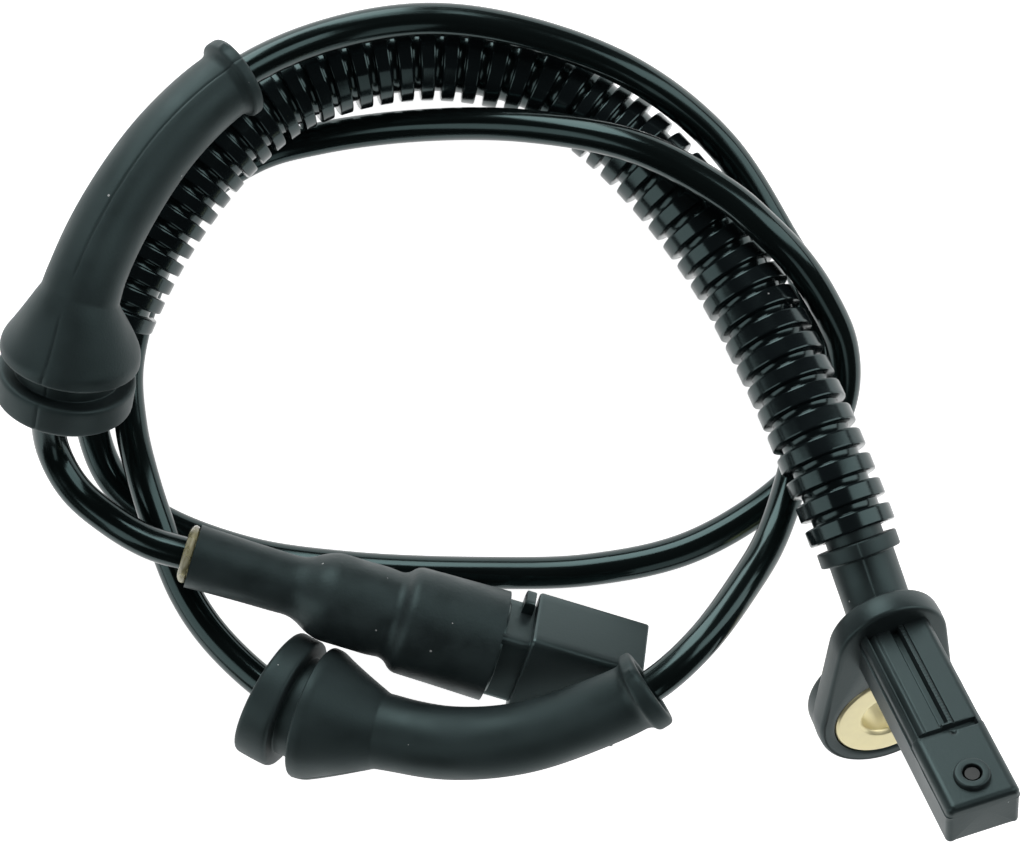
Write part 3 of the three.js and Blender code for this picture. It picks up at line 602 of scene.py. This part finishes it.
def plate(head):
    """Flange and ear as one plate round the bush, with round edges.

    A point lies in a direction from the ear's middle, between the bush's hole and the edge.
    """
    angle = whole_turn(300)
    rows = np.array([  # along, share of the way from the hole to the edge, and mm beyond it
        [-3.95, 0, 0.0], [-0.35, 0, 0.0], [-0.12, 0, 0.08], [0.0, 0, 0.3], [0.0, 0.4, 0.0],
        [0.0, 0.8, 0.0], [0.0, 1, -0.75], [-0.08, 1, -0.35], [-0.3, 1, -0.1], [-0.6, 1, 0.0],
        [-2.0, 1, 0.0], [-3.4, 1, 0.0], [-3.75, 1, -0.12], [-3.95, 1, -0.4], [-4.0, 1, -0.8],
        [-4.0, 0.6, 0.0], [-4.0, 0.2, 0.0],
    ])
    along, share, beyond = (rows[:, k][:, None] for k in range(3))
    radius = EAR_HOLE + (plate_outline(angle) - EAR_HOLE) * share + beyond
    flash = 0.10 * ridge(along + 2.0, 0.2) * (share == 1)
    return about_bush(head, along, radius + flash, angle)


def ear_ring(head):
    """Round boss behind the ear that holds the bush."""
    back = 0.2 - BUSH["length"]
    profile = smooth_profile([[-3.0, EAR_HOLE, 0.1], [-3.0, EAR_RIM, 0.1],
                              [back, EAR_RIM - 0.1, 0.7], [back, EAR_HOLE, 0.3]], step=0.8)
    return about_bush(head, profile[:, :1], profile[:, 1:], whole_turn(96))


def soft_step(value, low, high):
    """0 below low, 1 above high, and a smooth rise between."""
    t = np.clip((value - low) / (high - low), 0, 1)
    return t * t * (3 - 2 * t)


def between(value, low, high, soft):
    """1 inside a span and 0 outside it, with soft edges."""
    rise = soft_step(value, low - soft / 2, low + soft / 2)
    return rise * (1 - soft_step(value, high - soft / 2, high + soft / 2))


def face_relief(along, side):
    """Depth cut into the shank's upper face.

    A narrow channel runs from the flange towards the pad between two lands. The left land is a
    little lower, falls off over a shoulder and has a crease at its outer side. The right one has
    a fine line and a strip of teeth. A groove crosses the face in front of the pad, with a notch
    at its edge, and the boss has a hole.
    """
    slant = 0.1 * side / SHANK["width"]
    groove = between(along - slant, PAD_START - 1.15, PAD_START, 0.2)
    before_pad = 1 - soft_step(along, PAD_START - 2.0, PAD_START - 1.6)
    channel = between(side, -0.75, 0.4, 0.16) * before_pad
    behind = 1 - soft_step(along, PAD_START - 1.3, PAD_START - 1.0)
    shoulder = (1 - soft_step(side, -5.4, -3.05)) * 1.2 * behind
    left_land = 0.4 * (1 - soft_step(side, -0.75, -0.5)) * behind
    crease = 0.16 * ridge(side + 3.05, 0.10) * behind
    line = 0.18 * ridge(side - 1.2, 0.07) * behind
    strip = 0.02 * between(side, 0.35, 1.2, 0.1) * np.sin(2 * np.pi * along / 0.55) * behind
    notch = 0.5 * ridge(along - PAD_START - 0.05, 0.4) * ridge(side - 0.55, 0.35)
    from_boss = (along - SHANK["length"] + BOSS_FROM_END) ** 2 + (side - 0.1) ** 2
    return (1.3 * channel + 0.95 * groove + shoulder + left_land + crease + line + strip + notch
            + 1.6 * (from_boss < 1.35 ** 2))


def shank_bar(head):
    """Shank: a rounded bar whose upper face carries the channel, groove and pad.

    The section's upper side has a point each 0.12 mm, and the face's relief lowers it. A parting
    line with a little flash runs round the pad below its rounded edge.
    """
    w, d = SHANK["width"] / 2, SHANK["depth"] / 2
    top_corner, corner = 1.3, 0.5
    parting = d - 2.0
    quarter = np.linspace(0, np.pi / 2, 9)
    top = np.stack([np.linspace(w - top_corner, -w + top_corner, 72), np.full(72, d)], -1)
    left_top = np.stack([-w + top_corner - top_corner * np.sin(quarter),
                         d - top_corner + top_corner * np.cos(quarter)], -1)[1:]
    heights = np.concatenate([np.linspace(d - 1.45, parting + 0.25, 4), parting + np.array(
        [0.12, 0.05, 0, -0.05, -0.12]), np.linspace(parting - 0.3, -d + corner, 8)])
    left = np.stack([np.full(len(heights), -w), heights], -1)
    low = quarter[::2]
    left_low = np.stack([-w + corner - corner * np.cos(low),
                         -d + corner - corner * np.sin(low)], -1)[1:]
    bottom = np.stack([np.linspace(-w + corner, w - corner, 14)[1:-1], np.full(12, -d)], -1)
    half = np.vstack([left_top, left, left_low])
    section = np.vstack([top, half, bottom, half[::-1] * [-1, 1]])
    end, tip = SHANK["length"], 0.9
    turn = np.linspace(0, np.pi / 2, 8)
    along = np.concatenate([np.arange(-1, end - tip, 0.13), end - tip + tip * np.sin(turn)])
    inset = np.concatenate([np.zeros(len(along) - len(turn)), tip * (1 - np.cos(turn))])
    y = section[:, 0] - np.clip(section[:, 0], -w + 1.4, w - 1.4)
    z = section[:, 1] - np.clip(section[:, 1], -d + 1.0, d - 1.4)
    outward = np.stack([y, z], -1)
    outward = outward / np.maximum(np.linalg.norm(outward, axis=1, keepdims=True), 1e-9)
    rows = section[None] - outward[None] * inset[:, None, None]
    side, over = rows[..., 0], rows[..., 1]
    on_top = (section[:, 1] > d - 0.01)[None]
    over = over - np.where(on_top, face_relief(along[:, None], side), 0)
    behind = along[:, None] < PAD_START - 0.45
    step = 0.14 * (section[:, 1] > parting)[None] * behind
    flash = 0.13 * ridge(section[:, 1][None] - parting, 0.1) * (1 + 0.6 * wobble(
        along[:, None], section[:, :1].T, seed=41, size=5))
    side = side + np.sign(side) * (flash - step) * (np.abs(section[:, 0]) > w - 0.6)[None]
    points = head.place(along[:, None] + 0 * side, side, over)
    return shell(points, wrap_rows=False)


def boss_ring(head):
    """Round boss on the pad with a hole in its middle, its axis square to the face."""
    face = SHANK["depth"] / 2
    base, top = face - 1.2, face + 0.85
    profile = smooth_profile([[base, 1.35, 0.1], [base, 2.7, 0.1], [face, 2.65, 0.35],
                              [top, 2.48, 0.3], [top, 1.38, 0.2]], step=0.4)
    angle = whole_turn(64)
    return shell(head.place(SHANK["length"] - BOSS_FROM_END + profile[:, 1:] * np.cos(angle),
                            profile[:, 1:] * np.sin(angle), profile[:, :1] + 0 * angle))


def bush_ring(head):
    """Plated bush in the ear, with a chamfer on each edge."""
    r, bore, length = BUSH["outer"] / 2, BUSH["bore"] / 2, BUSH["length"]
    profile = smooth_profile([
        [0.1, bore + 0.55, 0.1], [0.1, r - 0.35, 0.15], [-0.25, r, 0.15], [-length + 0.4, r, 0.15],
        [-length + 0.1, r - 0.4, 0.15], [-length + 0.1, bore + 0.6, 0.1],
        [-length + 0.7, bore, 0.3], [-0.45, bore, 0.3],
    ], step=0.7, steps=5)
    return about_bush(head, profile[:, :1], profile[:, 1:], whole_turn(128))


# ---- node groups and materials

def new_group(name, inputs, outputs):
    """Shader node group with number inputs {name: default} and the named number outputs."""
    group = bpy.data.node_groups.new(name, "ShaderNodeTree")
    kind = "NodeSocketFloat"
    for label, value in inputs.items():
        socket = group.interface.new_socket(name=label, in_out="INPUT", socket_type=kind)
        socket.default_value = value
    for label in outputs:
        group.interface.new_socket(name=label, in_out="OUTPUT", socket_type=kind)
    return group, group.nodes.new("NodeGroupInput"), group.nodes.new("NodeGroupOutput")


def put_in(tree, socket, value):
    """Links a value to a socket, or sets it where it is a plain number or colour."""
    if isinstance(value, bpy.types.NodeSocket):
        tree.links.new(value, socket)
    else:
        socket.default_value = value


def math_node(tree, operation, first, second):
    """Math node of two links or numbers; returns its output."""
    node = tree.nodes.new("ShaderNodeMath")
    node.operation = operation
    put_in(tree, node.inputs[0], first)
    put_in(tree, node.inputs[1], second)
    return node.outputs[0]


def noise_node(tree, vector, scale, detail):
    """Noise texture on a vector link; scale is a number or a link."""
    node = tree.nodes.new("ShaderNodeTexNoise")
    node.inputs["Detail"].default_value = detail
    node.inputs["Roughness"].default_value = 0.5
    put_in(tree, node.inputs["Scale"], scale)
    tree.links.new(vector, node.inputs["Vector"])
    return node.outputs["Fac"]


def moulded_grain():
    """Fine grain with larger flow marks of a moulded or rubbed surface: a height and a mask."""
    group, inside, out = new_group(
        "Moulded grain", {"Grain scale": 2500.0, "Flow scale": 90.0, "Flow share": 0.4},
        ("Height", "Mask"))
    where = group.nodes.new("ShaderNodeTexCoord").outputs["Object"]
    grain = noise_node(group, where, inside.outputs["Grain scale"], 2.0)
    flow = noise_node(group, where, inside.outputs["Flow scale"], 3.0)
    share = inside.outputs["Flow share"]
    rest = math_node(group, "SUBTRACT", 1.0, share)
    height = math_node(group, "ADD", math_node(group, "MULTIPLY", grain, rest),
                       math_node(group, "MULTIPLY", flow, share))
    group.links.new(height, out.inputs["Height"])
    group.links.new(flow, out.inputs["Mask"])
    return group


def dust_specks():
    """Sparse pale specks: cells whose own random value is high show a dot at their middle."""
    group, inside, out = new_group(
        "Dust specks", {"Speck scale": 620.0, "Rarity": 0.9, "Dot size": 0.12}, ("Mask",))
    where = group.nodes.new("ShaderNodeTexCoord").outputs["Object"]
    cells = group.nodes.new("ShaderNodeTexVoronoi")
    group.links.new(where, cells.inputs["Vector"])
    group.links.new(inside.outputs["Speck scale"], cells.inputs["Scale"])
    chosen = group.nodes.new("ShaderNodeSeparateColor")
    group.links.new(cells.outputs["Color"], chosen.inputs["Color"])
    rare = math_node(group, "GREATER_THAN", chosen.outputs["Red"], inside.outputs["Rarity"])
    size = math_node(group, "MULTIPLY", inside.outputs["Dot size"], chosen.outputs["Green"])
    dot = math_node(group, "LESS_THAN", cells.outputs["Distance"], size)
    group.links.new(math_node(group, "MULTIPLY", rare, dot), out.inputs["Mask"])
    return group


class MaterialMaker:
    """One material being built: its tree, its surface shader and short ways to add nodes."""

    def __init__(self, name, colour, roughness, metallic=0.0, specular_tint=None, ior=1.5):
        self.material = bpy.data.materials.new(name)
        self.material.use_nodes = True
        self.tree = self.material.node_tree
        self.surface = self.tree.nodes["Principled BSDF"]
        self.surface.inputs["Base Color"].default_value = (*colour, 1)
        self.surface.inputs["Roughness"].default_value = roughness
        self.surface.inputs["Metallic"].default_value = metallic
        self.surface.inputs["IOR"].default_value = ior
        if specular_tint:
            self.surface.inputs["Specular Tint"].default_value = (*specular_tint, 1)

    def group(self, group, **values):
        """Places a node group with its own values."""
        node = self.tree.nodes.new("ShaderNodeGroup")
        node.node_tree = group
        for label, value in values.items():
            node.inputs[label.replace("_", " ").capitalize()].default_value = value
        return node

    def spread(self, mask, low, high):
        """Mask, most of which lies from 0.3 to 0.7, stretched onto a range of numbers."""
        node = self.tree.nodes.new("ShaderNodeMapRange")
        for label, value in zip(("From Min", "From Max", "To Min", "To Max"),
                                (0.3, 0.7, low, high)):
            node.inputs[label].default_value = value
        self.tree.links.new(mask, node.inputs["Value"])
        return node.outputs["Result"]

    def mix(self, mask, first, second):
        """Colour between two by a mask."""
        node = self.tree.nodes.new("ShaderNodeMix")
        node.data_type = "RGBA"
        self.tree.links.new(mask, node.inputs["Factor"])
        for label, colour in (("A", first), ("B", second)):
            socket = [s for s in node.inputs if s.name == label and s.type == "RGBA"][0]
            linked = isinstance(colour, bpy.types.NodeSocket)
            put_in(self.tree, socket, colour if linked else (*colour, 1))
        return [s for s in node.outputs if s.type == "RGBA"][0]

    def bump(self, height, strength, distance):
        """Bump from a height; distance in metres."""
        node = self.tree.nodes.new("ShaderNodeBump")
        node.inputs["Strength"].default_value = strength
        node.inputs["Distance"].default_value = distance
        self.tree.links.new(height, node.inputs["Height"])
        self.tree.links.new(node.outputs["Normal"], self.surface.inputs["Normal"])

    def feed(self, output, socket):
        """Links an output to a socket of the surface shader."""
        self.tree.links.new(output, self.surface.inputs[socket])

    def drift(self, groups, colour, scales, factors):
        """Grain with its two scales, and the colour between two shades of itself by its mask."""
        grained = self.group(groups["grain"], grain_scale=scales[0], flow_scale=scales[1])
        mask = self.spread(grained.outputs["Mask"], 0, 1)
        return grained, self.mix(mask, *(shade(colour, factor) for factor in factors))

    def finish(self, grained, tone, roughness, strength, distance):
        """Feeds a tone, the roughness between two numbers by the grain's mask, and its bump."""
        self.feed(tone, "Base Color")
        self.feed(self.spread(grained.outputs["Mask"], *roughness), "Roughness")
        self.bump(grained.outputs["Height"], strength, distance)
        return self.material


def shade(colour, factor):
    """Colour made darker or paler by a factor."""
    return tuple(min(1.0, c * factor) for c in colour)


def black_moulding(name, colour, groups, roughness, grain, flow=90.0, depth=0.6, relief=3e-5,
                   dust=0.93, ior=1.5):
    """Black plastic or rubber: grain bump, uneven sheen, a slight drift of tone, and dust."""
    maker = MaterialMaker(name, colour, sum(roughness) / 2, specular_tint=BLACK_TINT, ior=ior)
    grained, tone = maker.drift(groups, colour, scales=(grain, flow), factors=(0.75, 1.3))
    dusted = maker.group(groups["dust"], rarity=dust)
    tone = maker.mix(dusted.outputs["Mask"], tone, DUST_COLOUR)
    return maker.finish(grained, tone, roughness, depth, relief)


def drawn_jacket(colour, groups):
    """Glossy extruded jacket: faint lines along the cable, read from its wrap."""
    maker = MaterialMaker("Cable jacket", colour, 0.16, specular_tint=JACKET_TINT)
    tree = maker.tree
    wrap = tree.nodes.new("ShaderNodeUVMap")
    wrap.uv_map = "Wrap"
    stretch = tree.nodes.new("ShaderNodeMapping")
    stretch.inputs["Scale"].default_value = (34.0, 1.6, 1.0)
    tree.links.new(wrap.outputs["UV"], stretch.inputs["Vector"])
    lines = noise_node(tree, stretch.outputs["Vector"], 1.0, 2.0)
    _, tone = maker.drift(groups, colour, scales=(1400.0, 60.0), factors=(0.8, 1.25))
    maker.feed(tone, "Base Color")
    maker.feed(maker.spread(lines, 0.11, 0.22), "Roughness")
    maker.bump(lines, strength=0.35, distance=3e-5)
    return maker.material


def zinc_plate(colour, groups):
    """Pale yellow zinc plating with a fine grain and duller patches."""
    maker = MaterialMaker("Zinc bush", colour, 0.38, metallic=0.72)
    grained, tone = maker.drift(groups, colour, scales=(1800.0, 160.0), factors=(0.86, 1.1))
    return maker.finish(grained, tone, roughness=(0.3, 0.46), strength=0.35, distance=2e-5)


def melted_adhesive(colour, groups):
    """Cloudy yellow adhesive that lets some light through."""
    maker = MaterialMaker("Melt adhesive", colour, 0.22)
    maker.surface.inputs["Transmission Weight"].default_value = 0.55
    grained, tone = maker.drift(groups, colour, scales=(900.0, 350.0), factors=(0.55, 1.3))
    return maker.finish(grained, tone, roughness=(0.12, 0.4), strength=0.5, distance=8e-5)


def small_part(name, colour, groups, roughness, metallic):
    """Finish of a small inner part: tone and roughness drift with the grain."""
    maker = MaterialMaker(name, colour, roughness, metallic)
    grained, tone = maker.drift(groups, colour, scales=(2000.0, 200.0), factors=(0.8, 1.2))
    return maker.finish(grained, tone, roughness=(roughness * 0.8, roughness * 1.2),
                        strength=0.4, distance=2e-5)


def groups_once():
    """The shared node groups, made the first time they are asked for."""
    names = {"grain": ("Moulded grain", moulded_grain), "dust": ("Dust specks", dust_specks)}
    return {key: bpy.data.node_groups.get(label) or build()
            for key, (label, build) in names.items()}


def slot_colour(slot):
    """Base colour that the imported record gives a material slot."""
    found = [m for m in frame["record"]["materials"] if m["slot"] == slot]
    return tuple(found[0]["base_color"][:3])


# ---- settings

def colour_setting(label, slot):
    """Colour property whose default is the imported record's colour for a slot."""
    return FloatVectorProperty(name=label, description=f"Base colour of the {label.lower()}",
                               subtype="COLOR", size=3, min=0, max=1, default=slot_colour(slot))


def length_setting(label, description, default):
    """Length property in metres."""
    return FloatProperty(name=label, description=description, default=default, min=0.0005, max=0.1,
                         unit="LENGTH", subtype="DISTANCE", precision=4)


class CordSizes(PropertyGroup):
    """Sizes of the cable and its conduit."""
    cable_diameter: length_setting("Cable diameter", "Width of the cable's jacket", 0.005)
    conduit_crest: length_setting("Conduit crest", "Width of the conduit over its ribs", 0.0133)
    conduit_root: length_setting("Conduit root", "Width of the conduit between its ribs", 0.0104)
    crest_share: FloatProperty(name="Crest share", default=0.67, min=0.2, max=0.9,
                               description="Part of the pitch that the crest takes")


class Finishes(PropertyGroup):
    """Colours of the finishes."""
    jacket: colour_setting("Cable jacket", "cable_jacket")
    conduit: colour_setting("Conduit", "conduit_plastic")
    rubber: colour_setting("Grommet rubber", "grommet_rubber")
    sleeve: colour_setting("Shrink sleeve", "sleeve_film")
    housing: colour_setting("Sensor housing", "housing_plastic")
    plug: colour_setting("Connector housing", "plug_plastic")
    bush: colour_setting("Mounting bush", "zinc_bush")
    adhesive: colour_setting("Melt adhesive", "melt_adhesive")


class StageLight(PropertyGroup):
    """Brightness of the studio."""
    panel: FloatProperty(name="Panels", description="Radiance of the soft panels", default=2.8,
                         min=0)
    table: FloatProperty(name="Table glow", description="Light that the white table gives off",
                         default=0.98, min=0)
    room: FloatProperty(name="Room", description="Light of the dark room around", default=0.02,
                        min=0)


# ---- operators

class WHEELSENSOR_OT_stage(Operator):
    """Camera over the coil, white table, soft panels and a dim room."""
    bl_idname = "wheel_sensor.stage"
    bl_label = "Stage"

    def execute(self, context):
        scene, light = context.scene, context.scene.sensor_light
        camera = bpy.data.objects.new("camera", bpy.data.cameras.new("camera"))
        camera.location = (np.array([0.0, 0.0, CAMERA_HEIGHT]) - COIL_MIDDLE) / 1000
        camera.data.lens = CAMERA_LENS
        camera.data.sensor_width = CAMERA_SENSOR
        camera.data.clip_start, camera.data.clip_end = 0.01, 20
        scene.collection.objects.link(camera)
        scene.camera = camera
        scene.view_settings.view_transform = "Standard"

        table = bpy.data.meshes.new("table")
        corners = [(-1, -1), (1, -1), (1, 1), (-1, 1)]
        table.from_pydata([(x * TABLE_HALF, y * TABLE_HALF, 0) for x, y in corners], [],
                          [(0, 1, 2, 3)])
        finish = MaterialMaker("White table", (0.85, 0.85, 0.85), 0.7)
        finish.surface.inputs["Emission Color"].default_value = (1, 1, 1, 1)
        finish.surface.inputs["Emission Strength"].default_value = light.table
        table.materials.append(finish.material)
        floor = bpy.data.objects.new("table", table)
        scene.collection.objects.link(floor)

        for number, (compass, rise, width, length, share) in enumerate(PANELS):
            lamp = bpy.data.lights.new(f"panel_{number + 1}", "AREA")
            lamp.shape, lamp.size, lamp.size_y = "RECTANGLE", width, length
            lamp.energy = light.panel * share * width * length * math.pi
            lit = bpy.data.objects.new(lamp.name, lamp)
            a, e = math.radians(compass), math.radians(rise)
            away = np.array([math.cos(a) * math.cos(e), math.sin(a) * math.cos(e), math.sin(e)])
            lit.location = away * PANEL_DISTANCE
            lit.rotation_euler = (math.pi / 2 - e, 0, a + math.pi / 2)
            lit.visible_camera = False
            scene.collection.objects.link(lit)

        world = bpy.data.worlds.new("room")
        world.use_nodes = True
        tree = world.node_tree
        seen = tree.nodes.new("ShaderNodeLightPath")
        bright = tree.nodes["Background"]
        strength = math_node(tree, "MAXIMUM", seen.outputs["Is Camera Ray"], light.room)
        bright.inputs["Color"].default_value = (1, 1, 1, 1)
        tree.links.new(strength, bright.inputs["Strength"])
        scene.world = world
        return {"FINISHED"}


class WHEELSENSOR_OT_cable(Operator):
    """Cable jacket along the whole route."""
    bl_idname = "wheel_sensor.cable"
    bl_label = "Cable"

    def execute(self, context):
        sizes, finishes = context.scene.sensor_cord, context.scene.sensor_finishes
        route = Path(CABLE_ROUTE)
        jacket = drawn_jacket(finishes.jacket, groups_once())
        make_piece("cable_jacket", [cable_tube(route, sizes.cable_diameter * 500)], jacket,
                   "cable")
        return {"FINISHED"}


class WHEELSENSOR_OT_conduit(Operator):
    """Corrugated conduit over the first stretch of the cable."""
    bl_idname = "wheel_sensor.conduit"
    bl_label = "Conduit"

    def execute(self, context):
        gloss = black_moulding("Conduit plastic", context.scene.sensor_finishes.conduit,
                               groups_once(), roughness=(0.14, 0.22), grain=1200.0, depth=0.2,
                               dust=0.985)
        tube = conduit_tube(Path(CABLE_ROUTE), context.scene.sensor_cord)
        make_piece("conduit_tube", [tube], gloss, "conduit")
        return {"FINISHED"}


class WHEELSENSOR_OT_grommets(Operator):
    """The two rubber grommets on the cable."""
    bl_idname = "wheel_sensor.grommets"
    bl_label = "Grommets"

    def execute(self, context):
        rubber = black_moulding("Grommet rubber", context.scene.sensor_finishes.rubber,
                                groups_once(), roughness=(0.46, 0.62), grain=2600.0, flow=140.0,
                                depth=0.8, dust=0.9)
        # axis, lengths along it of face, crease and end, direction of the seam, seed
        both = {"lower": (LOWER_AXIS, 0.8, 19.5, 62.3, 2.9, 5),
                "upper": (UPPER_AXIS, 0.0, 17.8, 58.6, 1.42, 7)}
        for name, (axis, *places) in both.items():
            make_piece(f"{name}_grommet", [grommet(Path(axis), *places)], rubber,
                       f"grommet_{name}")
        return {"FINISHED"}


class WHEELSENSOR_OT_sleeve(Operator):
    """Heat-shrink sleeve over the connector's tail, with its ring of adhesive."""
    bl_idname = "wheel_sensor.sleeve"
    bl_label = "Sleeve and adhesive"

    def execute(self, context):
        finishes, groups, axis = context.scene.sensor_finishes, groups_once(), plug_axis()
        film = black_moulding("Sleeve film", finishes.sleeve, groups, roughness=(0.42, 0.6),
                              grain=1500.0, flow=220.0, depth=0.9, relief=6e-5)
        make_piece("sleeve", [sleeve_tube(axis)], film, "shrink_sleeve")
        glue = melted_adhesive(finishes.adhesive, groups)
        make_piece("adhesive_ring", [adhesive_ring(axis)], glue, "adhesive_bead")
        return {"FINISHED"}


class WHEELSENSOR_OT_connector(Operator):
    """Connector housing with its open socket."""
    bl_idname = "wheel_sensor.connector"
    bl_label = "Connector"

    def execute(self, context):
        satin = black_moulding("Connector plastic", context.scene.sensor_finishes.plug,
                               groups_once(), roughness=(0.32, 0.42), grain=2200.0, flow=70.0,
                               ior=1.75)
        make_piece("connector", connector_shells(plug_axis()), satin,
                   "connector_housing")
        return {"FINISHED"}


class WHEELSENSOR_OT_head(Operator):
    """Sensor head: neck, flange with ear, shank, boss and the plated bush."""
    bl_idname = "wheel_sensor.head"
    bl_label = "Sensor head"

    def execute(self, context):
        finishes, groups, head = context.scene.sensor_finishes, groups_once(), head_axis()
        satin = black_moulding("Housing plastic", finishes.housing, groups, roughness=(0.38, 0.5),
                               grain=2400.0, flow=80.0)
        shells = [neck_tube(Path(CABLE_ROUTE), head), plate(head), ear_ring(head), shank_bar(head),
                  boss_ring(head)]
        make_piece("head_moulding", shells, satin, "sensor_housing")
        make_piece("bush", [bush_ring(head)], zinc_plate(finishes.bush, groups),
                   "mounting_bush")
        return {"FINISHED"}


class WHEELSENSOR_OT_cord(Operator):
    bl_idname = "wheel_sensor.cord"
    bl_label = "Cord"

    def execute(self, context):
        return {"FINISHED"}


class WHEELSENSOR_OT_inner(Operator):
    """Finishes of the inner pieces that keep their own solids."""
    bl_idname = "wheel_sensor.inner"
    bl_label = "Inner pieces"

    def execute(self, context):
        groups = groups_once()
        looks = {  # material slot: roughness and how metallic it is
            "carrier_plastic": (0.5, 0.0), "chip_epoxy": (0.5, 0.0), "ferrite": (0.6, 0.2),
            "tinned_copper": (0.32, 0.9), "core_dark": (0.4, 0.0), "core_light": (0.4, 0.0),
            "seal_silicone": (0.55, 0.0),
        }
        made = {slot: small_part(slot.replace("_", " ").capitalize(), slot_colour(slot), groups,
                                 *look) for slot, look in looks.items()}
        for part in frame["record"]["subparts"]:
            slot, node = part["material_slot"], frame["nodes"][part["node"]]
            if slot in made:
                for material_slot in node.material_slots:
                    material_slot.material = made[slot]
        return {"FINISHED"}


class WHEELSENSOR_PT_panel(Panel):
    """Lists the builders and their settings."""
    bl_idname = "WHEELSENSOR_PT_panel"
    bl_label = "Wheel speed sensor"
    bl_space_type = "VIEW_3D"
    bl_region_type = "UI"
    bl_category = "Sensor"

    def draw(self, context):
        for group in ("sensor_cord", "sensor_finishes", "sensor_light"):
            settings = getattr(context.scene, group)
            for name in settings.__annotations__:
                self.layout.prop(settings, name)
        for operator in OPERATORS:
            self.layout.operator(operator.bl_idname)


OPERATORS = (
    WHEELSENSOR_OT_stage, WHEELSENSOR_OT_cable, WHEELSENSOR_OT_conduit, WHEELSENSOR_OT_grommets,
    WHEELSENSOR_OT_sleeve, WHEELSENSOR_OT_connector, WHEELSENSOR_OT_head, WHEELSENSOR_OT_cord,
    WHEELSENSOR_OT_inner,
)
CLASSES = (CordSizes, Finishes, StageLight, *OPERATORS, WHEELSENSOR_PT_panel)


def register():
    """Registers the classes and puts the settings on the scene."""
    for item in CLASSES:
        bpy.utils.register_class(item)
    bpy.types.Scene.sensor_cord = PointerProperty(type=CordSizes)
    bpy.types.Scene.sensor_finishes = PointerProperty(type=Finishes)
    bpy.types.Scene.sensor_light = PointerProperty(type=StageLight)


def unregister():
    """Takes the settings and classes away again."""
    for name in ("sensor_cord", "sensor_finishes", "sensor_light"):
        delattr(bpy.types.Scene, name)
    for item in reversed(CLASSES):
        bpy.utils.unregister_class(item)


def main():
    """Builds the whole scene."""
    register()
    for operator in OPERATORS:
        group, name = operator.bl_idname.split(".")
        getattr(getattr(bpy.ops, group), name)()


if __name__ == "__main__":
    main()
